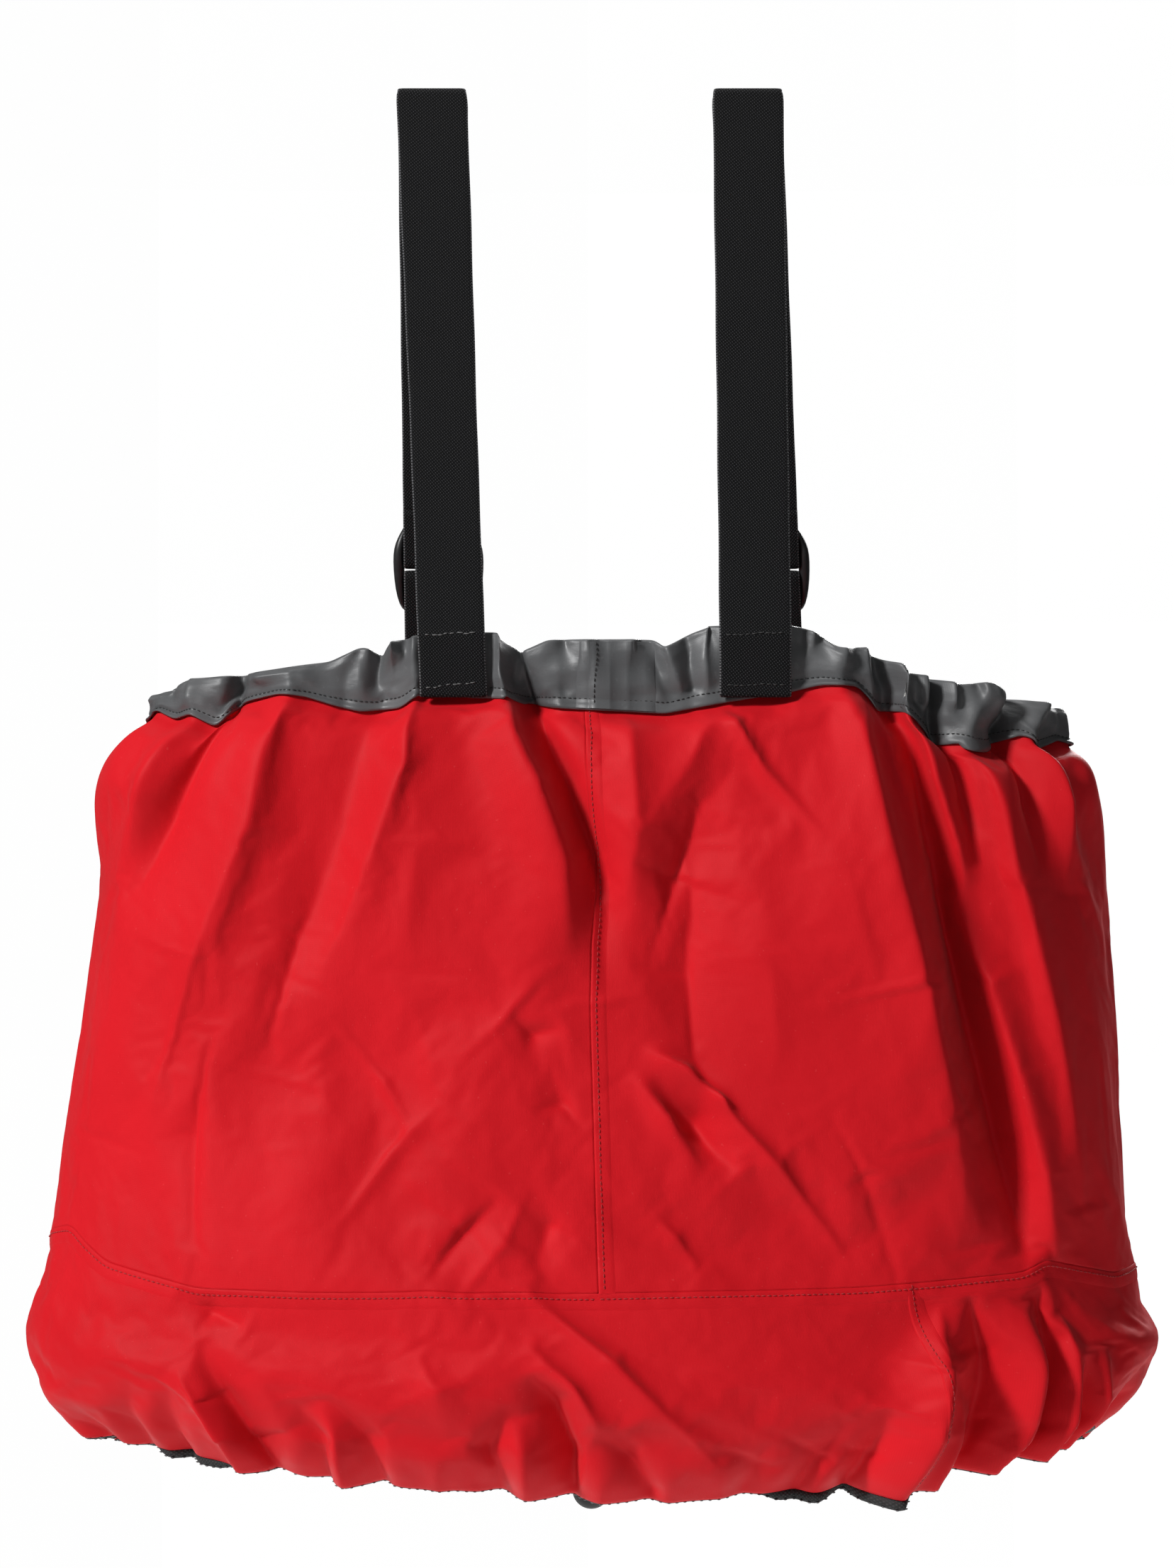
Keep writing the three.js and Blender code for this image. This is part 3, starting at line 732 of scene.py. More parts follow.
PLEATS = [  # through the waistband and on down the cloth
    ("left_of_seam", [(-42, -305), (-36, -345), (-17, -392), (-3, -428), (5, -456), (10, -505)],
     (6, 10, 12, 12, 13, 16), (-6, -13, -17, -15, -8, 0), -0.2),
    ("left_of_seam_swell", [(-58, -305), (-53, -345), (-37, -394), (-22, -434), (-10, -480)],
     (8, 10, 12, 13, 18), (1, 6, 10, 8, 0), 0.9),
    ("right_1", [(132, -305), (136, -342), (156, -420), (173, -490), (192, -572), (206, -640)],
     (12, 12, 14, 15, 16, 15), (2, 6, 10, 10, 8, 1), 0.3),
    ("right_rise", [(118, -360), (136, -430), (154, -500), (174, -585)],
     (26, 32, 36, 34), (2, 9, 11, 3), 0.0),
    ("right_2", [(160, -340), (174, -378), (184, -420), (194, -470)],
     (5, 6, 7, 8), (3, 6, 5, 0), -0.4),
    ("right_2_valley", [(157, -312), (166, -345), (188, -410), (208, -490), (228, -580), (240, -640)],
     (5, 8, 13, 16, 16, 12), (-4, -8, -17, -21, -16, -5), 0.0),
    ("right_2_edge", [(205, -450), (224, -495), (239, -547), (250, -600), (256, -645)],
     (7, 8, 9, 10, 10), (3, 8, 9, 7, 2), -0.7),
    ("right_3", [(176, -318), (180, -348), (194, -385), (206, -424), (210, -448)],
     (5, 5, 5, 6, 6), (4, 6, 8, 8, 2), -0.6),
    ("right_3_valley", [(192, -325), (197, -352), (209, -400), (215, -438)],
     (5, 5, 5, 5), (-8, -8, -7, 0), 0.0),
    ("right_4", [(224, -330), (222, -368), (238, -440), (256, -520), (272, -620)],
     (11, 11, 13, 14, 16), (2, 5, 9, 8, 3), -0.5),
    ("right_4_valley", [(241, -335), (241, -362), (245, -400), (250, -440)],
     (4, 5, 6, 8), (-8, -10, -9, 0), 0.0),
    ("right_5", [(254, -340), (256, -366), (262, -400), (265, -450)],
     (7, 7, 9, 10), (4, 6, 8, 0), 0.0),
    ("left_1", [(-98, -315), (-97, -342), (-104, -375), (-124, -430), (-148, -500)],
     (8, 8, 10, 16, 24), (2, 4, 7, 7, 0), 0.5),
    ("left_1_valley", [(-108, -322), (-118, -352), (-134, -410), (-158, -470), (-178, -545)],
     (9, 14, 20, 25, 30), (-3, -4, -7, -7, 0), 0.0),
    ("left_2", [(-165, -322), (-170, -350), (-190, -410), (-218, -480), (-246, -590)],
     (14, 15, 19, 24, 28), (3, 7, 10, 9, 0), 0.6),
    ("left_2_valley", [(-196, -330), (-203, -358), (-228, -405), (-250, -450)],
     (5, 6, 10, 13), (-6, -9, -9, 0), 0.2),
    ("left_3", [(-222, -335), (-226, -356), (-244, -395), (-256, -440)],
     (8, 8, 10, 12), (3, 4, 5, 0), 0.2),
]

BAND_FOLDS = [  # in the waistband alone
    ("end_step", [(-181, -300), (-181, -350)], (9, 9), (5, 4), -0.8),
    ("end_step_valley", [(-196, -300), (-196, -350)], (5, 5), (-4, -5), 0.0),
    ("left_bump", [(-130, -300), (-126, -335)], (9, 7), (5, 2), 0.5),
    ("left_bump_valley", [(-117, -300), (-118, -335)], (4, 4), (-5, -2), 0.0),
    ("left_fold", [(-108, -300), (-110, -340)], (3, 3), (4, 1), 0.6),
    ("inner_fold", [(-54, -300), (-60, -345)], (4, 4), (4, 1), 0.6),
    ("inner_valley", [(-46, -300), (-44, -345)], (4, 4), (-5, -5), 0.0),
    ("inner_bump", [(-36, -300), (-34, -330)], (5, 4), (4, 1), -0.6),
    ("middle_fold", [(30, -300), (42, -340)], (4, 4), (-4, -1), 0.0),
    ("middle_ridge", [(40, -300), (52, -338)], (4, 4), (4, 1), -0.5),
    ("middle_fold_2", [(52, -300), (58, -340)], (4, 4), (-5, -2), 0.0),
    ("middle_ridge_2", [(62, -300), (64, -340)], (4, 4), (4, 1), 0.4),
    ("right_pucker", [(122, -300), (118, -325)], (5, 4), (4, 0), 0.5),
    ("block_1", [(146, -300), (150, -345)], (8, 8), (3, 4), 0.9),
    ("block_1_step", [(155, -300), (160, -345)], (4, 4), (-5, -3), 0.0),
    ("block_2", [(166, -300), (174, -345)], (5, 5), (4, 4), 0.7),
    ("block_2_step", [(174, -300), (184, -345)], (4, 4), (-6, -5), 0.0),
    ("thin_1", [(183, -300), (188, -345)], (3, 3), (5, 3), 0.5),
    ("thin_1_valley", [(193, -300), (194, -345)], (4, 4), (-6, -4), 0.0),
    ("thin_2", [(201, -300), (202, -345)], (3, 3), (5, 4), 0.4),
    ("thin_2_valley", [(208, -300), (209, -330)], (4, 4), (-5, 0), 0.0),
    ("block_3", [(226, -300), (228, -345)], (9, 9), (1, 1), 0.7),
    ("block_3_step", [(238, -300), (241, -345)], (4, 4), (-6, -5), 0.0),
    ("block_4", [(252, -300), (254, -345)], (8, 8), (4, 3), 0.3),
]

CREASES = [  # in the cloth alone
    ("seam_swell", [(20, -356), (24, -410), (16, -470)], (12, 16, 20), (4, 6, 0), 0.4),
    ("strap_valley", [(62, -398), (48, -440), (32, -492)], (14, 18, 20), (-4, -8, 0), 0.0),
    ("strap_crease", [(74, -350), (92, -380), (128, -420)], (5, 5, 7), (5, 5, 0), 0.4),
    ("strap_crease_inner", [(66, -352), (50, -385), (22, -420)], (9, 11, 14), (4, 3, 0), 0.0),
    ("middle_valley", [(60, -420), (56, -490), (62, -560)], (18, 22, 18), (-2, -8, -5), 0.2),
    ("middle_swell", [(92, -410), (98, -480), (104, -550)], (30, 36, 34), (1, 3, 1), 0.0),
    ("elbow", [(30, -530), (52, -546), (68, -562)], (5, 6, 6), (0, 8, 6), 0.7),
    ("elbow_end", [(68, -562), (98, -594), (138, -642)], (6, 7, 8), (5, 6, 1), 0.6),
    ("elbow_inner", [(24, -543), (42, -570), (62, -596)], (5, 6, 6), (0, 6, 0), 0.6),
    ("elbow_inner_valley", [(34, -545), (58, -572), (80, -598)], (7, 8, 8), (0, -9, 0), 0.0),
    ("low_right", [(34, -618), (46, -632), (60, -648)], (5, 6, 6), (0, 4, 0), 0.5),
    ("crumple_1", [(-42, -512), (-28, -524), (-12, -520)], (6, 6, 6), (0, -5, 0), 0.0),
    ("crumple_2", [(-30, -566), (-14, -560), (0, -575)], (7, 7, 7), (0, -4, 0), 0.0),
    ("low_left", [(-44, -608), (-62, -632), (-86, -658)], (7, 9, 11), (0, -6, -3), 0.4),
    ("low_left_ridge", [(-30, -604), (-46, -634), (-66, -660)], (7, 8, 9), (0, 4, 2), 0.3),
    ("low_seam", [(-20, -626), (-28, -650)], (6, 7), (-4, 0), 0.0),
    ("left_swell", [(-86, -350), (-92, -420), (-100, -490)], (22, 30, 36), (3, 4, 0), 0.0),
    ("faint_1", [(-142, -510), (-112, -550), (-84, -594)], (7, 7, 7), (0, 3.5, 0), 0.4),
    ("faint_2", [(-78, -558), (-106, -590), (-136, -630)], (7, 7, 7), (0, 3.5, 0), -0.4),
    ("faint_3", [(-205, -520), (-214, -580), (-212, -640)], (12, 13, 12), (0, -5, 0), 0.2),
    ("right_low_valley", [(128, -560), (150, -600), (166, -650)], (12, 13, 12), (0, -5, -2), 0.2),
]

HEM_FOLDS = [  # up from the gathered hem
    ("left_crease", [(-222, -664), (-204, -672), (-184, -680)], (7, 7, 7), (0, -5, 0), 0.3),
    ("left_pocket", [(-168, -766), (-174, -742), (-192, -712), (-210, -688)],
     (6, 8, 8, 7), (-8, -12, -8, 0), -0.5),
    ("left_pocket_ridge", [(-186, -768), (-190, -742), (-204, -718), (-220, -700)],
     (8, 9, 9, 8), (5, 8, 6, 0), 0.6),
    ("left_end", [(-238, -768), (-233, -738), (-226, -712)], (7, 8, 8), (-8, -7, 0), 0.2),
    ("left_end_2", [(-262, -765), (-258, -738), (-250, -712)], (7, 8, 8), (-7, -6, 0), 0.2),
    ("left_inner", [(-150, -770), (-148, -742), (-158, -718)], (6, 7, 7), (-8, -7, 0), 0.4),
    ("left_inner_ridge", [(-134, -770), (-138, -742), (-142, -720)], (7, 8, 8), (5, 5, 0), 0.0),
    ("left_inner_2", [(-116, -770), (-120, -742), (-136, -720)], (6, 7, 7), (-7, -5, 0), 0.3),
    ("left_soft", [(-92, -690), (-80, -712), (-74, -740)], (10, 12, 12), (0, 4, 0), 0.0),
    ("middle_ridge", [(-30, -664), (10, -700), (66, -756)], (7, 9, 10), (1, 5, 2), 0.6),
    ("pocket_ridge", [(-30, -692), (-12, -714), (0, -730)], (6, 7, 7), (2, 6, 4), 0.4),
    ("pocket", [(-14, -772), (-16, -750), (-24, -722), (-32, -704)], (8, 9, 8, 7), (-10, -14, -10, 0), 0.4),
    ("pocket_left", [(-46, -772), (-50, -745), (-42, -720)], (6, 7, 7), (-7, -6, 0), 0.0),
    ("pocket_left_ridge", [(-34, -772), (-36, -748), (-38, -728)], (6, 7, 7), (4, 4, 0), 0.0),
    ("middle_valley", [(32, -772), (20, -752), (4, -738)], (7, 7, 7), (-6, -6, 0), 0.3),
    ("right_low", [(84, -770), (88, -752), (96, -738)], (7, 8, 8), (-5, -4, 0), 0.2),
    ("right_low_2", [(112, -770), (122, -748), (140, -726)], (8, 9, 9), (-6, -6, 0), 0.3),
    ("right_1_valley", [(140, -770), (148, -748), (160, -722)], (8, 9, 8), (-9, -8, 0), 0.3),
    ("right_1", [(164, -770), (174, -738), (184, -700), (188, -668)], (10, 13, 13, 9), (8, 12, 9, 1), -0.6),
    ("right_1_edge", [(188, -770), (196, -745), (199, -715)], (5, 5, 5), (7, 6, 0), -0.3),
    ("right_2_valley", [(200, -768), (210, -735), (212, -695), (206, -665)],
     (9, 12, 10, 6), (-10, -15, -11, -1), 0.2),
    ("right_2", [(214, -768), (229, -742), (236, -705), (232, -668)], (6, 7, 8, 8), (9, 11, 8, 1), -0.5),
    ("right_3_valley", [(226, -767), (241, -735), (245, -690), (242, -660)],
     (5, 6, 6, 5), (-11, -14, -9, -1), 0.3),
    ("right_3", [(243, -764), (254, -735), (257, -690)], (7, 8, 9), (9, 10, 2), -0.5),
    ("right_4_valley", [(256, -762), (266, -735), (267, -700)], (5, 6, 6), (-10, -11, 0), 0.3),
    ("right_4", [(268, -760), (277, -725), (280, -695)], (7, 8, 9), (6, 8, 0), -0.3),
]


def add_folds(folds, u, z, sharpness, gain):
    """What these folds add at the places (u, z): height, then the shifts along u and z of the ones that lean.
    A sharpness of 2 is round, and 1 is a crease."""
    total = np.zeros((3, *u.shape))
    around = shortest(u)
    for _, line, widths, heights, lean in folds:
        line = np.asarray(line, float)
        line = np.stack([u_on_back(line[:, 0], line[:, 1]), line[:, 1]], axis=-1)
        nearest = np.full(u.shape, np.inf)
        width, height, side_u, side_z = (np.zeros(u.shape) for _ in range(4))
        for k, (a, b) in enumerate(zip(line[:-1], line[1:])):
            along = b - a
            t = np.clip(((around - a[0]) * along[0] + (z - a[1]) * along[1]) / (along @ along), 0, 1)
            distance = np.hypot(around - a[0] - t * along[0], z - a[1] - t * along[1])
            nearer = distance < nearest
            nearest = np.where(nearer, distance, nearest)
            width = np.where(nearer, widths[k] + t * (widths[k + 1] - widths[k]), width)
            height = np.where(nearer, heights[k] + t * (heights[k + 1] - heights[k]), height)
            left = np.array((-along[1], along[0])) / np.hypot(*along)
            side_u = np.where(nearer, left[0], side_u)
            side_z = np.where(nearer, left[1], side_z)
        rise = gain * height * np.exp(-((nearest / width) ** sharpness))
        total[0] += rise
        total[1] += rise * lean * side_u
        total[2] += rise * lean * side_z
    return total


def folds_all_round(folds, u, z, sharpness, gain):
    """These folds on the back, and again on the front: mirrored, moved sideways and less high."""
    back = np.abs(shortest(u)) < RING / 4
    from_front = shortest(RING / 2 - u)
    mirrored = add_folds(folds, from_front + FRONT_MOVE, z, sharpness, gain * FRONT_SHARE)
    mirrored[1] *= -1
    faded = smoothstep((RING / 4 - np.abs(from_front)) / SIDE_FADE)
    return add_folds(folds, u, z, sharpness, gain) * back + mirrored * faded


def scattered_folds(u, down, edge, seed, count, lengths, heights, widths, keep_off=None):
    """Gathers spread round the ring that run from a sewn edge, at this distance below the waist."""
    rng = np.random.default_rng(seed)
    total = np.zeros((3, *u.shape))
    for _ in range(count):
        at = rng.uniform(0, RING)
        length = rng.uniform(*lengths)
        drift = rng.uniform(-0.25, 0.25) * length
        height = rng.uniform(*heights) * rng.choice((-1, 1), p=(0.6, 0.4))
        width = rng.uniform(*widths)
        lean = rng.uniform(-0.5, 0.5)
        if keep_off and keep_off(at):
            continue
        t = np.clip(np.abs(down - edge) / length, 0, 1)
        offset = shortest(u - at - drift * t)
        rise = height * (1 - smoothstep(t)) * np.exp(-((np.abs(offset) / (width + 8 * t)) ** 1.7))
        total[0] += rise
        total[1] += rise * lean
    return total


def on_back(u):
    """Whether u is on the back, where the larger folds are all named ones."""
    return min(u, RING - u) < 0.215 * RING


def waist_gathers(u, down):
    big = scattered_folds(u, down, 0, 11, 46, (50, 210), (4, 8), (6, 10), on_back)
    return big + scattered_folds(u, down, 0, 12, 46, (12, 45), (0.8, 2.2), (4, 7))


def hem_gathers(u, down):
    big = scattered_folds(u, down, LENGTH, 21, 60, (35, 100), (6, 11), (6, 10), on_back)
    return big + scattered_folds(u, down, LENGTH, 22, 60, (12, 48), (1.5, 4.0), (4, 8))


def drooping(z, angles):
    """A level of the smooth shell, lowered at the sides of the waist."""
    down = np.clip((WAIST_Z - z) / (WAIST_Z - SEAM_Z), 0, 1)
    return z - WAIST_DROOP * np.cos(angles) ** 2 * (1 - down)


def place_on_shell(levels, angles, z, moves):
    """Points at these levels and angles, with the height and shifts of the folds added."""
    x, y, nx, ny = oval(levels[..., 0], levels[..., 1], angles)
    height, along, up = moves
    x = x + middle_x(levels[..., 2]) + nx * height - ny * along
    y = y + ny * height + nx * along
    return np.stack([x, y, z + up], axis=-1)


# ---- the cloth from waist to hem ----

TUCK = 5.0  # length of cloth above the waistband's lower edge, inside it
SEAM_AT_WAIST, SEAM_AT_HEM = -14.0, 5.0  # u of the back seam's two ends
ROLL, ROLL_IN = 34.0, 13.0  # height over which the hem rolls under, and how far in it gets
HEM_SAG = 0.18  # how much lower the hem hangs for the height of its folds
LEFT_SWELL, RIGHT_SWELL = 10.0, 3.0  # how far the cloth puffs out at the sides, below the waistband
SWELL_DOWN, SWELL_REACH = 38.0, 26.0  # how far below the waist it puffs out most, and how soon less
WAIST_REACH, SEAM_REACH = 80.0, 90.0  # how far the rises and falls of the waist and the seam reach
NIP, LIFT = 2.8, 0.3  # how far the cloth is drawn in under the waistband, and let out all over
FOOT_HELD, FOOT_FADE = 17.0, 9.0  # half the width that a strap's foot holds flat, and the fade beside it
TAB_HELD, TAB_FADE = 13.0, 12.0  # the same for the grab loop's tab


def designed_cloth():
    """The cloth with its folds, before it is relaxed: points, and the rows' distances below the waist."""
    down = np.linspace(0, LENGTH, ROWS)
    u, down = np.meshgrid(np.arange(COLUMNS) / COLUMNS * RING, down)
    seam_down = down_at(SEAM_Z)
    u = (u + SEAM_AT_WAIST + (SEAM_AT_HEM - SEAM_AT_WAIST) * np.minimum(down / seam_down, 1)) % RING
    angles = angles_at(u)
    near_waist = 1 - smoothstep(down / WAIST_REACH)
    levels = levels_at(down - TUCK * near_waist)
    z = drooping(levels[..., 2], angles)
    z = z + edge_height(LOWER_EDGE, WAIST_Z, u) * near_waist
    z = z + edge_height(SEAM_EDGE, SEAM_Z, u) * (1 - smoothstep(np.abs(down - seam_down) / SEAM_REACH))
    z = z + edge_height(HEM_EDGE, HEM_Z, u) * smoothstep((down - seam_down - 10) / (LENGTH - seam_down - 10))

    free = smoothstep((down - TUCK - 1) / 14)
    moves = folds_all_round(PLEATS, u, z, 1.5, PLEAT_GAIN)
    moves = moves + folds_all_round(CREASES, u, z, 1.2, CREASE_GAIN) * free
    moves = moves + folds_all_round(HEM_FOLDS, u, z, 1.4, HEM_GAIN)
    moves = moves + waist_gathers(u, down) + hem_gathers(u, down)
    moves = moves * (1 - 0.5 * np.exp(-(((down - seam_down) / 9) ** 2)))  # the seam's layers are stiffer
    moves[0] = held_flat(moves[0], u, z)
    moves[0] += -NIP * (1 - smoothstep((down - TUCK - 1) / 11)) + LIFT
    rolled = np.clip((down - LENGTH + ROLL) / ROLL, 0, 1)
    z = z - HEM_SAG * moves[0] * rolled
    moves[0] -= ROLL_IN * rolled**2.4
    side = np.where(np.cos(angles) < 0, LEFT_SWELL, RIGHT_SWELL)
    side = side * smoothstep((np.abs(np.cos(angles)) - 0.55) / 0.35) * free
    moves[0] += side * np.exp(-(((down - SWELL_DOWN) / SWELL_REACH) ** 2))
    return place_on_shell(levels, angles, z, moves), down[:, 0]


def held_places():
    """u of the places where the straps are sewn to the waistband."""
    back = [u_on_back(foot_x(side, BACK), WAIST_Z) for side in STRAP_X]
    return back + [RING / 2 - u_on_back(foot_x(side, FRONT), WAIST_Z) for side in STRAP_X]


def held_flat(height, u, z):
    """Holds the cloth's folds back under the sewn feet of the straps and under the grab loop's tab."""
    held = np.zeros(u.shape)
    for middle in held_places():
        apart = np.abs(shortest(u - middle))
        near = 1 - smoothstep((apart - FOOT_HELD) / FOOT_FADE)
        held = np.maximum(held, near * (1 - smoothstep((WAIST_Z - z) / 14)))
    apart = np.abs(u - RING / 2 + HEM_SHIFT)
    tab = (1 - smoothstep((apart - TAB_HELD) / TAB_FADE)) * smoothstep((GRAB_TAB_TOP + 22 - z) / 14)
    height = height * (1 - held) + np.minimum(height * 0.3, 0.8) * held
    return height * (1 - tab) + np.minimum(height * 0.3, -1.0) * tab


SETTLE_FRAMES = 20
PIN = 0.03  # how firmly the loose cloth keeps its place, where 1 is sewn down
CLOTH_SETTINGS = {
    "vertex_group_mass": "pin", "quality": 5, "mass": 0.0006, "air_damping": 1,
    "tension_stiffness": 12, "compression_stiffness": 12, "shear_stiffness": 3, "bending_stiffness": 0.06,
    "tension_damping": 5, "compression_damping": 5, "shear_damping": 5, "bending_damping": 0.5,
    "shrink_min": -0.010, "shrink_max": -0.010,
}


def relaxed(points):
    """The cloth's points after it settles between its sewn edges in Blender's cloth simulation."""
    rows, cols = points.shape[:2]
    obj = add_grid("cloth", points, bpy.data.materials.new("plain"), around=True)
    group = obj.vertex_groups.new(name="pin")
    sewn = list(range(4 * cols)) + list(range((rows - 2) * cols, rows * cols))
    group.add(list(range(rows * cols)), PIN, "REPLACE")
    group.add(sewn, 1.0, "REPLACE")
    cloth = obj.modifiers.new("cloth", "CLOTH")
    for name, value in CLOTH_SETTINGS.items():
        setattr(cloth.settings, name, value)
    cloth.collision_settings.use_collision = False
    cloth.collision_settings.use_self_collision = False
    cloth.point_cache.frame_end = SETTLE_FRAMES
    scene = bpy.context.scene
    for number in range(1, SETTLE_FRAMES + 1):
        scene.frame_set(number)
    settled = obj.evaluated_get(bpy.context.evaluated_depsgraph_get()).to_mesh()
    flat = np.empty(rows * cols * 3)
    settled.vertices.foreach_get("co", flat)
    scene.frame_set(1)
    bpy.data.objects.remove(obj)
    return flat.reshape(rows, cols, 3) / MM


def make_cloth(material):
    """The red panels and the hem band, cut from the relaxed cloth. Returns its surface and the seam's row."""
    points, down = designed_cloth()
    points = relaxed(points)
    seam_row = int(np.argmin(np.abs(down - down_at(SEAM_Z))))
    twice_round = np.concatenate([points, points, points[:, :1]], axis=1)
    uv = uv_grid(np.arange(2 * COLUMNS + 1) / COLUMNS * RING, -down)
    join = round((u_at_angle(HEM_JOIN) - SEAM_AT_HEM) / RING * COLUMNS)
    half = COLUMNS // 2
    cuts = [  # name, first and last row, first and last column, the CAD node it stands for
        ("right_panel_cloth", 0, seam_row, 0, half, "right_skirt_panel"),
        ("left_panel_cloth", 0, seam_row, half, COLUMNS, "left_skirt_panel"),
        ("hem_cloth_front", seam_row, ROWS - 1, join, join + half, "hem_band_front"),
        ("hem_cloth_back", seam_row, ROWS - 1, join + half, join + COLUMNS, "hem_band_back"),
    ]
    for name, top, bottom, first, last, node in cuts:
        rows, cols = slice(top, bottom + 1), slice(first, last + 1)
        piece, piece_uv = twice_round[rows, cols], uv[rows, cols]
        if bottom == ROWS - 1:
            piece, piece_uv = with_hem_fold(piece, piece_uv, first)
        cloth = add_grid(name, piece, material, piece_uv)
        subdivide(cloth)
        thicken(cloth)
        ride(cloth, "skirt", node)
    return Surface(points), seam_row


def inwards_at_hem(u):
    """Level directions from the hem's edge into the skirt."""
    _, _, nx, ny = oval(LEVELS[-1, 0], LEVELS[-1, 1], angles_at(u))
    return -np.stack([nx, ny, 0 * nx], axis=-1)


def with_hem_fold(points, uv, first):
    """The cloth from this column on, with the rows that turn in round the shock cord and go up inside."""
    inwards = inwards_at_hem((first + np.arange(points.shape[1])) / COLUMNS * RING + SEAM_AT_HEM)
    turn = [(2.2, -2.0), (5.0, -2.6), (8.5, -1.6), (11, 0.5), (12, 6), (12.5, 14)]
    rows = [points[-1] + inwards * inset + (0, 0, rise) for inset, rise in turn]
    lengths = np.cumsum([3, 4, 4, 4, 6, 8]) * MM
    more = [uv[-1] - (0, length) for length in lengths]
    return np.concatenate([points, rows]), np.concatenate([uv, more])


# ---- seams ----

def across(surface, distances):
    """These distances along the ring, in columns."""
    return np.asarray(distances, float) / surface.spacing[0]


def downwards(surface, distances):
    """These distances down the cloth, in rows."""
    return np.asarray(distances, float) / surface.spacing[1]


WELT = np.array([  # places across a seam and their heights
    (-0.7, -0.6), (0.0, 0.3), (1.0, 0.5), (2.6, 0.35), (4.2, 0.45), (7.0, 0.35), (8.6, 0.2), (10.4, -0.4),
])
TAPE_OFFSETS = np.linspace(-11, 11, 15)


def upright_seams(surface, seam_row):
    """The seams down the skirt: name of the welt, CAD node of the tape, column, first row and last row."""
    half = surface.cols / 2
    join = (u_at_angle(HEM_JOIN) - SEAM_AT_HEM) / RING * surface.cols
    last = surface.rows - 1
    return [
        ("back_seam_welt", "back_seam_tape", 0, 0, seam_row),
        ("front_seam_welt", "front_seam_tape", half, 0, seam_row),
        ("hem_join_right_welt", "hem_join_tape_right", join, seam_row, last),
        ("hem_join_left_welt", "hem_join_tape_left", join + half, seam_row, last),
    ]


def make_seams(surface, seam_row, red, thread_red):
    """Welts where seam allowances lie under the cloth, and their topstitching."""
    offsets, lifts = WELT.T
    lines = []
    for name, _, col, top, bottom in upright_seams(surface, seam_row):
        top = max(top, 0.5)
        rows = np.linspace(top, bottom, int((bottom - top) * 3))[:, None]
        cols = col + across(surface, offsets)[None, :]
        ride(surface_strip(name, surface, rows, cols, lifts[None, :], red), "skirt")
        lines.append(surface.at(rows[:, 0], col + across(surface, 3.0), 0.62))
    cols = np.linspace(0, surface.cols, surface.cols * 2 + 1)[:, None]
    rows = seam_row + downwards(surface, offsets)[None, :]
    welt = surface_strip("hem_seam_welt", surface, rows, cols, lifts[None, :], red)
    ride(welt, "skirt")
    lines.append(surface.at(seam_row + downwards(surface, 2.8), cols[:, 0], 0.64))
    ride(stitches("red_topstitch", lines, thread_red, 3.1, 0.72, 0.3), "skirt")


def make_inner_tapes(surface, seam_row, tape):
    """Tapes welded over the seams inside."""
    lifts = np.where(np.abs(TAPE_OFFSETS) > 10, -CLOTH - 0.1, -CLOTH - 0.5)
    for _, node, col, top, bottom in upright_seams(surface, seam_row):
        top, bottom = max(top, 2), min(bottom, surface.rows - 2)
        rows = np.linspace(top, bottom, int((bottom - top) * 2))[:, None]
        cols = col + across(surface, TAPE_OFFSETS)[None, :]
        strip = surface_strip(f"{node}_inside", surface, rows, cols, lifts[None, :], tape)
        strip.data.flip_normals()
        ride(strip, "skirt", node)


# ---- waistband ----

BAND_COLUMNS = 720
BAND_ROWS = 22
BAND_HEIGHT = BAND_TOP_Z - WAIST_Z
LIP = 3.6  # height of the narrow edge below the band's topstitch
FRONT_DIP = 11.0  # how much lower the band's top is at the front of the hips than at the back


def band_shape(v, inset=0.0, rise=0.0):
    """A ring of the band at this share of the way up its outer side, set inwards and raised."""
    u = np.arange(BAND_COLUMNS) / BAND_COLUMNS * RING
    angles = angles_at(u)
    levels = between_rows(np.full(u.shape, -WAIST_Z - BAND_HEIGHT * v), -LEVEL_LINE[:, 2], LEVEL_LINE)
    low = WAIST_Z + edge_height(LOWER_EDGE, WAIST_Z, u)
    high = BAND_TOP_Z + edge_height(UPPER_EDGE, BAND_TOP_Z, u, 2.0)
    high = high - FRONT_DIP * smoothstep(np.sin(angles) / 0.25) * (0.5 + 0.5 * np.cos(angles) ** 2)
    base = low + (high - low) * v
    z = base - WAIST_DROOP * np.cos(angles) ** 2
    off_edge = smoothstep((base - low - LIP + 0.1) / 8)
    moves = folds_all_round(PLEATS, u, z, 1.5, PLEAT_GAIN)
    moves = moves + folds_all_round(BAND_FOLDS, u, z, 1.4, BAND_GAIN) * off_edge
    moves = moves + waist_gathers(u, np.zeros(u.shape)) * (1 - 0.5 * v)
    below_top, above_lip = high - base, np.maximum(base - low - LIP - 2, 0)
    puckers = scattered_folds(u, below_top, 0, 31, 110, (14, 30), (2.4, 5.6), (3, 5.5))
    puckers += scattered_folds(u, above_lip, 0, 32, 90, (8, 22), (1.4, 3.6), (3.5, 6))
    moves = moves + puckers * off_edge
    moves[0] = held_flat(moves[0], u, np.full(u.shape, BAND_TOP_Z)) - inset
    return place_on_shell(levels, angles, z + rise, moves)


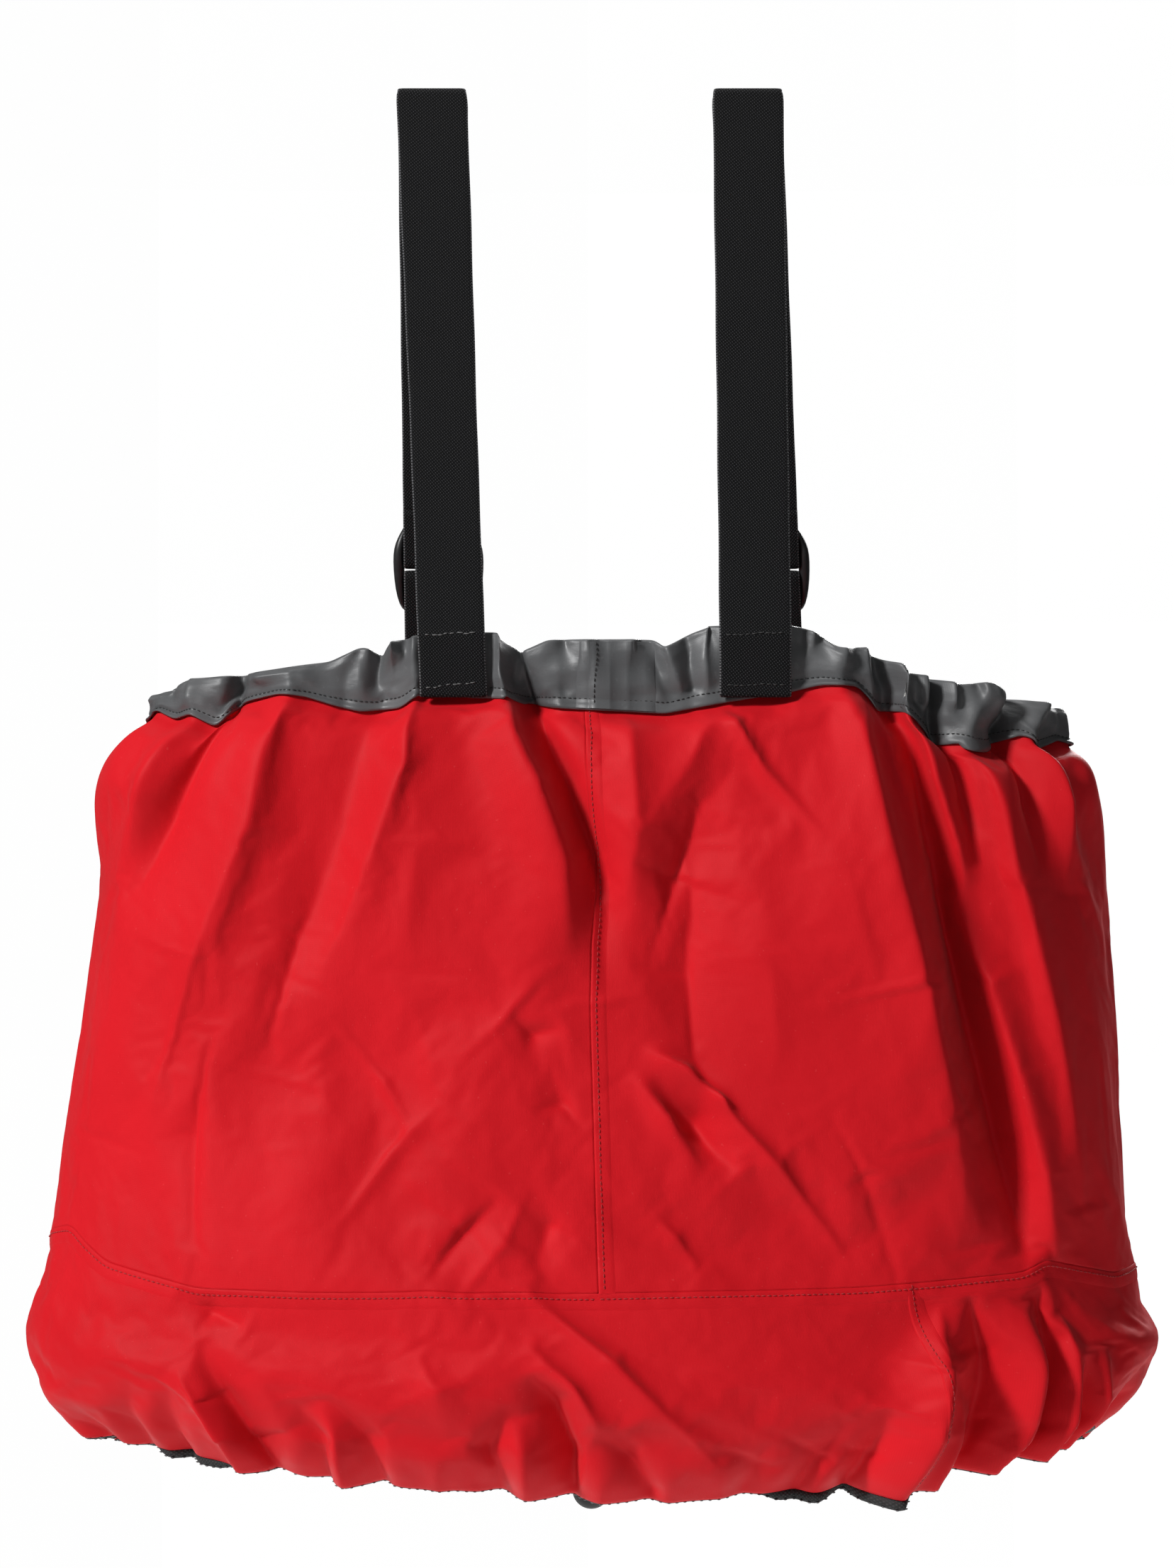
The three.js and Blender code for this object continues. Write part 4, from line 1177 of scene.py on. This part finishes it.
def make_waistband(grey, thread_black):
    """The casing: up inside, over the top fold, and down outside to the lip below its topstitch."""
    outer = []
    for v in np.linspace(1, 0, BAND_ROWS):
        above = v * BAND_HEIGHT
        lip = 0.9 * (1 - smoothstep((above - LIP + 0.9) / 0.9))
        groove = -0.7 * math.exp(-(((above - LIP - 0.6) / 1.1) ** 2))
        puff = 1.3 * smoothstep((above - LIP - 1) / 7) * smoothstep((BAND_HEIGHT - above) / 6)
        outer.append(band_shape(v, inset=-(lip + groove + puff)))
    surface = Surface(np.stack(outer))
    inner = [band_shape(v, inset=3.4) for v in np.linspace(0.08, 0.97, 9)]
    top = [band_shape(1, inset=2.6, rise=0.9), band_shape(1, inset=1.3, rise=1.3)]
    curl = [band_shape(0, rise=-0.7), band_shape(0, inset=0.6, rise=-0.6)]
    points = np.stack(inner + top + outer + curl)
    points = np.concatenate([points, points[:, :1]], axis=1)
    uv = uv_grid(np.arange(BAND_COLUMNS + 1) / BAND_COLUMNS * RING, -run_along(points))
    band = add_grid("waistband_cloth", points, grey, uv)
    weld = band.modifiers.new("weld", "WELD")
    weld.merge_threshold = 0.00005
    subdivide(band)
    thicken(band)
    ride(band, "skirt", "waistband")

    cols = np.linspace(0, surface.cols, surface.cols * 2 + 1)
    stitch_row = BAND_ROWS - 1 - downwards(surface, LIP + 0.7)
    lines = [surface.at(stitch_row, cols, 0.12)]
    make_band_join(surface, grey, lines)
    ride(stitches("band_topstitch", lines, thread_black, 2.9, 0.7, 0.3, 0.15), "skirt")


def make_band_join(surface, grey, lines):
    """The flat fold where the band's ends overlap at the back. It adds its row of stitches to the lines."""
    rows = np.linspace(0.2, BAND_ROWS - 1.2, 44)[:, None]
    offsets = np.array((-19.6, -19, -12, -10.4, -9.8, -6, 1.4, 2.6, 3.4, 12, 14.4, 15.2, 24, 30.6, 31.6))
    lifts = np.array((-0.4, 0.35, 0.35, 0.4, 0.95, 0.9, 0.85, 1.0, 0.55, 0.5, 0.75, 0.4, 0.35, 0.35, -0.4))
    strip = surface_strip("band_join", surface, rows, across(surface, offsets)[None, :], lifts[None, :], grey)
    ride(strip, "skirt")
    lines.append(surface.at(rows[:, 0], across(surface, -7.8), 1.0))


def make_elastic(white):
    """The elastic strip in the band's casing."""
    heights = np.linspace(0.3, 0.84, 12)
    rings = [band_shape(v, inset=1.9) for v in heights] + [band_shape(v, inset=2.3) for v in heights[::-1]]
    u = np.arange(BAND_COLUMNS) / BAND_COLUMNS * RING
    uv = uv_grid(u, BAND_HEIGHT * np.concatenate([heights, 2 - heights[::-1]]))
    strip = add_grid("elastic_strip", np.stack(rings), white, uv, around=True, joined=True)
    face_outwards(strip)
    subdivide(strip)
    ride(strip, "skirt", "waist_elastic")


# ---- webbing straps ----

def foot_x(side, run):
    """x of a strap's run where it is sewn to the waistband."""
    return STRAP_X[side] - SEWN_TOP * math.tan(math.radians(STRAP_LEAN[side][run]))


RUN_TOP = np.array((STRAP_TOP + 2, WEBBING_THICKNESS / 2 - 2))
RUN_END = np.array((SEWN_Y, SEWN_TOP))
UP = (RUN_TOP - RUN_END) / np.linalg.norm(RUN_TOP - RUN_END)
OUTWARDS = np.array((UP[1], -UP[0]))
BUCKLE = RUN_END + UP * (BUCKLE_Z - SEWN_TOP) / UP[1]


def on_run(v, w):
    """A place in y and z, from the buckle's middle: v up along the strap and w outwards."""
    return BUCKLE + UP * v + OUTWARDS * w


def rounded(points, radius, step=4.0):
    """Lines between the points with round corners, as closely spaced points."""
    points = [np.asarray(p, float) for p in points]
    path = [points[0]]
    for before, corner, after in zip(points, points[1:], points[2:]):
        back, on = before - corner, after - corner
        reach = min(radius, np.linalg.norm(back) / 2, np.linalg.norm(on) / 2)
        start, end = corner + unit(back) * reach, corner + unit(on) * reach
        for t in np.linspace(0, 1, 7):
            path.append((1 - t) ** 2 * start + 2 * t * (1 - t) * corner + t**2 * end)
    path.append(points[-1])
    spaced = [path[0]]
    for point in path[1:]:
        gap = np.linalg.norm(point - spaced[-1])
        if gap < 0.05:
            continue
        count = max(1, math.ceil(gap / step))
        spaced += [spaced[-1] + (point - spaced[-1]) * k / count for k in range(1, count + 1)]
    return np.array(spaced)


def half_turn(direction):
    """The webbing's turn round a bar, from behind it to its front."""
    middle = on_run(direction * (BAR_NEAR + 2), WRAP / 2)
    angles = np.linspace(0, math.pi, 13)
    radius, reach = WRAP / 2, WRAP / 2 + 0.7
    return [middle - UP * direction * reach * math.sin(a) - OUTWARDS * radius * math.cos(a) for a in angles]


def strap_webbing(name, side, path, material, width=None):
    """Webbing along a path in y and z, leaning as its run does."""
    y, z = path[:, 0], path[:, 1]
    lean = np.tan(np.radians(np.where(y < 0, *STRAP_LEAN[side])))
    middle = np.stack([STRAP_X[side] - z * lean, y, z], axis=-1)
    width = WEBBING_WIDTH if width is None else width(y, z)
    return ribbon(name, middle, (1, 0, 0), width, WEBBING_THICKNESS, material, WEBBING_WIDTH)


NARROWING = {"left": 3.0, "right": 0.6}  # how much narrower a strap's back run gets on its way down


def make_strap(side, webbing, thread_foot):
    """A strap from its foot at the back over the top to the buckle, its free end, and the buckle's anchor."""
    outer = -SEWN_Y - LAYERS
    back = rounded([
        (-SEWN_Y, SEWN_TOP - 2), (-SEWN_Y, SEWN_BOTTOM), (outer, SEWN_BOTTOM), (outer, SEWN_TOP - 1.5),
        (outer + 0.9, SEWN_TOP + 0.5), (-RUN_TOP[0], RUN_TOP[1]), (-STRAP_TOP, WEBBING_THICKNESS / 2),
        (STRAP_TOP, WEBBING_THICKNESS / 2), RUN_TOP, on_run(34, 0),
    ], 1.3)

    def width(y, z):
        narrowing = np.where(y < 0, NARROWING[side] * smoothstep(-z / 250), 0)
        return WEBBING_WIDTH - narrowing - 1.6 * (1 - smoothstep(-z / 4)) - 0.5 * np.sin(z / 23) ** 2

    run = strap_webbing(f"{side}_strap_run", side, back, webbing, width)
    node = f"{side}_shoulder_strap"
    blend(run, node)

    top_side = [on_run(BAR_FAR - 2, WRAP), on_run(9.2, WRAP), on_run(14, LAYERS), on_run(60, LAYERS + 0.6),
                on_run(TAIL, LAYERS + 1.4)]
    wrap = np.concatenate([
        rounded([on_run(36, 0), on_run(BAR_NEAR + 4, 0)], 1), np.array(half_turn(1)), rounded(top_side, 1.5),
    ])
    blended_to_buckle(f"{side}_strap_end", side, wrap, webbing, node)

    low_side = [on_run(2 - BAR_FAR, WRAP), on_run(-9.2, WRAP), on_run(-14, LAYERS),
                (SEWN_Y + LAYERS, SEWN_TOP), (SEWN_Y + LAYERS, SEWN_BOTTOM)]
    anchor = np.concatenate([
        rounded([(SEWN_Y, SEWN_BOTTOM), (SEWN_Y, SEWN_TOP), on_run(-BAR_NEAR - 4, 0)], 2),
        np.array(half_turn(-1)), rounded(low_side, 1.5),
    ])
    blended_to_buckle(f"{side}_anchor_webbing", side, anchor, webbing, f"{side}_anchor_strap")
    make_foot_stitches(side, thread_foot)


def blended_to_buckle(name, side, path, webbing, node):
    """Webbing between the skirt and the buckle."""
    keep = np.concatenate([[True], np.linalg.norm(np.diff(path, axis=0), axis=-1) > 0.05])
    strap = strap_webbing(name, side, path[keep], webbing)
    blend(strap, node)


FOOT_SEWING = {"left": (5.0, 1.6, 0.7), "right": (3.4, 0.4, 0.25)}  # margin, slant and roughness


def make_foot_stitches(side, thread_foot):
    """Two rows across a strap's sewn foot, at the back and at the front. The left lower row is crooked."""
    margin, slant, rough = FOOT_SEWING[side]
    half = WEBBING_WIDTH / 2 - margin
    y = SEWN_Y + LAYERS + WEBBING_THICKNESS / 2
    t = np.linspace(-1, 1, 60)
    back = []
    for z, tilt, shift in ((SEWN_TOP - 1.2, 0.8, 0.0), (SEWN_BOTTOM + 6, slant, 0.6)):
        height = z + tilt * t + 0.3 * np.sin(5 * t + tilt)
        back.append(level_row(foot_x(side, BACK) + half * t + shift, -y, height, -1.0))
    front = [level_row(foot_x(side, FRONT) + half * t, y, z, 1.0) for z in (SEWN_TOP - 4, SEWN_BOTTOM + 5)]
    for place, lines in (("foot", back), ("anchor", front)):
        rows = stitches(f"{side}_{place}_stitches", lines, thread_foot, 3.6, 0.74, 0.36, rough)
        ride(rows, "skirt")


# ---- buckles ----

# the ladder-lock's frame: distance up the strap, outer half width, lowest and highest distance outwards
FRAME = np.array([
    (-26, 17, 4.2, 5.8), (-24.6, 20.4, 3.0, 7.0), (-21, 23.2, 1.8, 7.8), (-12, 25.4, 0.8, 8.6),
    (0, 26.4, 0.6, 9.0), (9, 26.4, 0.6, 8.9), (15, 25.2, 1.6, 9.2), (21, 22.2, 4.6, 10.4),
    (26.4, 18.6, 8.6, 12.0), (28, 16.6, 10.6, 12.2),
])
RAIL_INNER = 19.7  # half the width between the rails
SLOT_END = 15.2  # from the buckle's middle to each end plate
UPPER_END, LOWER_END = 27.6, -25.6  # the plates' outer ends
BAR_RADII = (2.4, 1.9)  # along the strap and outwards
TEETH = 9


def loft(sections):
    """Points and faces of a closed solid through rings of equally many points."""
    return [point for ring in sections for point in ring], closed_tube(len(sections), len(sections[0]))


def frame_section(v, left, right, low, high):
    """A rounded rectangle across the buckle at v, as points (x, v, w)."""
    r = min(right - left, high - low) * 0.3
    ring = [(left + r, low), (right - r, low), (right, low + r), (right, high - r),
            (right - r, high), (left + r, high), (left, high - r), (left, low + r)]
    return [(x, v, w) for x, w in ring]


def frame_at(v):
    """Outer half width, lowest and highest distance outwards of the frame at v."""
    return between_rows(v, FRAME[:, 0], FRAME[:, 1:])


def bar_sections(middle):
    """An oval bar from rail to rail, in the middle of the webbing that turns round it."""
    turns = np.arange(8) * math.pi / 4
    ring = [(middle + BAR_RADII[0] * math.cos(a), WRAP / 2 + BAR_RADII[1] * math.sin(a)) for a in turns]
    return [[(x, v, w) for v, w in ring] for x in np.linspace(-RAIL_INNER - 1, RAIL_INNER + 1, 5)]


def make_buckle(side, plastic):
    """A ladder-lock: two rails that bow outwards, two bars, and two end plates, the upper one with teeth."""
    solids = []
    for hand in (-1, 1):
        rail = []
        for v, outer, low, high in FRAME:
            edges = sorted((hand * min(RAIL_INNER, outer - 3), hand * outer))
            rail.append(frame_section(v, *edges, low, high))
        solids.append(rail)
    for start, end in ((SLOT_END, UPPER_END), (-SLOT_END, LOWER_END)):
        plate = []
        for v in np.linspace(start, end, 6):
            outer, low, high = frame_at(v)
            plate.append(frame_section(v, 1 - outer, outer - 1, max(low, 3.4) + 0.1, high - 0.2))
        solids.append(plate)
    for hand in (-1, 1):
        solids.append(bar_sections(hand * (BAR_NEAR + BAR_FAR) / 2))
    for x in np.linspace(-15, 15, TEETH):
        tip = frame_section(SLOT_END - 1.8, x - 0.5, x + 0.5, 5.4, 6.4)
        root = frame_section(SLOT_END + 1, x - 1, x + 1, 4.0, 8.0)
        solids.append([tip, root])

    lean = math.tan(math.radians(STRAP_LEAN[side][FRONT]))
    points, faces = [], []
    for solid in solids:
        ring_points, ring_faces = loft(solid)
        faces += [[len(points) + corner for corner in face] for face in ring_faces]
        for x, v, w in ring_points:
            y, z = on_run(v, w)
            points.append((STRAP_X[side] - z * lean + x, y, z))
    buckle = add_object(f"{side}_buckle_frame", points, faces, plastic)
    face_outwards(buckle)
    subdivide(buckle)
    ride(buckle, f"{side}_buckle", f"{side}_ladder_buckle")


# ---- hem ----

# where the grip tape peeks out below the hem
TAPE_EDGE = [(-252, 0), (-242, -4), (-206, -4), (-196, 0), (96, 0), (104, -5), (128, -5.5), (138, -1),
             (146, -5), (166, -5.5), (176, 0)]


PEEK_TOP = 5.0  # rings lower than this follow it
CORD_RADIUS, CORD_INSET = 3.4, 6.4


def hem_ring(surface, inset, z):
    """A ring set in from the hem's edge and at this height above it, and its directions inwards."""
    edge = surface.points[-1, :-1:2]
    u = np.arange(len(edge)) / len(edge) * RING + SEAM_AT_HEM
    inwards = inwards_at_hem(u)
    height = z + edge_height(TAPE_EDGE, HEM_Z, u) * (z < PEEK_TOP)
    return edge + inwards * inset + np.stack([0 * u, 0 * u, height], axis=-1), inwards


def ring_band(name, rings, material, node):
    """A closed section carried round the hem."""
    points = np.stack(rings)
    uv = uv_grid(np.arange(points.shape[1]) / points.shape[1] * RING, run_along(points))
    obj = add_grid(name, points, material, uv, around=True, joined=True)
    face_outwards(obj)
    ride(obj, "skirt", node)
    return obj


def make_hem_parts(surface, weave, dots, braid):
    """The grip tape inside the hem, its silicone dots, and the shock cord in the hem's fold."""
    drop = -1.0
    section = [  # places inwards from the hem's edge, and their heights
        (4.0, drop), (3.8, drop - 0.7), (4.2, drop - 1.3), (10, drop - 1.5), (15.4, drop - 1.2),
        (15.8, drop + 4), (15.8, 14), (15.8, 26), (14.6, 26), (14.6, 14), (14.4, drop + 2), (13, drop),
    ]
    rings = [hem_ring(surface, inset, z)[0] for inset, z in section]
    tape = ring_band("grip_tape_strip", rings[::-1], weave, "hem_grip_tape")
    subdivide(tape)
    make_dots(surface, drop - 1.45, dots)

    cord = []
    for a in np.arange(12) * math.pi / 6:
        ring, _ = hem_ring(surface, CORD_INSET + CORD_RADIUS * math.cos(a), CORD_RADIUS * math.sin(a) + 0.4)
        cord.append(ring)
    ring_band("shock_cord_run", cord, braid, "hem_shock_cord")


DOT_PITCH = 4.6
DOT_PROFILE = ((1.15, 0.15), (1.0, -0.3), (0.55, -0.55))  # radius and height


def make_dots(surface, drop, material):
    """Three staggered rows of silicone dots on the grip tape's underside."""
    count = int(RING / DOT_PITCH)
    turns = np.arange(8) * math.pi / 4
    rows = []
    for inset, z, shift in ((4.6, drop, 0), (8.2, drop - 0.1, 0.5), (11.8, drop - 0.05, 0)):
        ring, inwards = hem_ring(surface, inset, z)
        at = (np.arange(count) + shift) / count * len(ring)
        low = at.astype(int)
        share = (at - low)[:, None]
        middle = ring[low % len(ring)] * (1 - share) + ring[(low + 1) % len(ring)] * share
        inward = inwards[low % len(ring)]
        side = np.cross(inward, (0, 0, 1.0))
        spokes = inward[:, None] * np.cos(turns)[:, None] + side[:, None] * np.sin(turns)[:, None]
        rows.append(np.stack([middle[:, None] + spokes * r + (0, 0, h) for r, h in DOT_PROFILE], axis=1))
    ride(add_tubes("grip_dots", rows, material), "skirt")


# ---- grab loop ----

def grab_webbing(name, path, width, thickness, webbing):
    """Webbing at the middle of the front, along a path in y and z."""
    middle = np.stack([np.full(len(path), HEM_SHIFT), path[:, 0], path[:, 1]], axis=-1)
    return ribbon(name, middle, (1, 0, 0), width, thickness, webbing)


def make_grab_tab(webbing, thread_foot):
    """The tab that sews the loop to the front of the hem, with two rows of stitches."""
    path = rounded([(GRAB_Y - 0.1, GRAB_TAB_TOP), (GRAB_Y, GRAB_TOP + 0.2)], 1, 1.0)
    tab = grab_webbing("grab_tab_webbing", path, 22.0, 2.0, webbing)
    blend(tab, "grab_loop_tab")
    x = HEM_SHIFT + 9 * np.linspace(-1, 1, 30)
    lines = [level_row(x, GRAB_Y + 1.0, GRAB_TAB_TOP - drop, 1.0) for drop in (3, 6)]
    ride(stitches("grab_tab_stitches", lines, thread_foot, 2.2, 0.8, 0.35, 0.1), "skirt")


def make_grab_loop(webbing):
    """Webbing that goes down from the tab, through the ball, and back up."""
    def strand(side):
        start = GRAB_Y + side * (GRAB_THICKNESS / 2 + 0.4)
        return [(start, GRAB_TOP), (GRAB_Y + side * (GRAB_SPREAD - 3), BALL_Z + 38),
                (GRAB_Y + side * GRAB_SPREAD, BALL_Z)]

    path = rounded(strand(-1) + strand(1)[::-1], 6.5, 2.5)
    loop = grab_webbing("grab_loop_webbing", path, GRAB_WIDTH, GRAB_THICKNESS, webbing)
    ride(loop, "grab_loop", "grab_loop")


def make_grab_ball(plastic):
    """A moulded ball with a slot through it for the webbing, and a raised parting line round its middle."""
    turns = np.arange(40) * math.pi / 20
    slot_x, slot_z, _, _ = oval(8.4, 1.7, turns)
    rings = [(slot_x, 6.0 + 0 * turns, slot_z)]
    for t in np.linspace(0, 0.93, 8):
        share = 1 - (1 - t) ** 2
        x = slot_x * (1 - share) + BALL_RADIUS * np.cos(turns) * share
        z = slot_z * (1 - share) + BALL_RADIUS * np.sin(turns) * share
        rings.append((x, np.sqrt(BALL_RADIUS**2 - x**2 - z**2), z))
    for line, y in ((0.0, 0.6), (0.25, 0.45), (0.25, 0.0)):
        radius = BALL_RADIUS + line
        rings.append((radius * np.cos(turns), y + 0 * turns, radius * np.sin(turns)))
    rings += [(x, -y, z) for x, y, z in rings[-2::-1]]
    points = np.stack([np.stack(ring, axis=-1) for ring in rings]) + (HEM_SHIFT, GRAB_Y, BALL_Z)
    ball = add_grid("grab_ball_moulded", points, plastic, around=True, joined=True)
    face_outwards(ball)
    subdivide(ball)
    ride(ball, "grab_loop", "grab_ball")


def main():
    make_stage()
    red = red_nylon()
    grey = grey_coated()
    webbing = webbing_black()
    thread_black = thread("thread_black", (0.006, 0.006, 0.006), (0.02, 0.02, 0.02))
    thread_grey = thread("thread_grey", (0.05, 0.05, 0.05), (0.15, 0.15, 0.15))
    thread_red = thread("thread_red", (0.30, 0.004, 0.007), (0.46, 0.008, 0.012))
    surface, seam_row = make_cloth(red)
    make_seams(surface, seam_row, red, thread_red)
    make_inner_tapes(surface, seam_row, seam_tape())
    make_waistband(grey, thread_black)
    make_elastic(elastic_white())
    make_hem_parts(surface, grip_weave(), silicone(), braid_black())
    acetal = moulded_black("acetal_black", 0.35)
    for side, thread_foot in (("left", thread_grey), ("right", thread_black)):
        make_strap(side, webbing, thread_foot)
        make_buckle(side, acetal)
    make_grab_tab(webbing, thread_grey)
    make_grab_loop(webbing)
    make_grab_ball(moulded_black("ball_black", 0.6))


main()
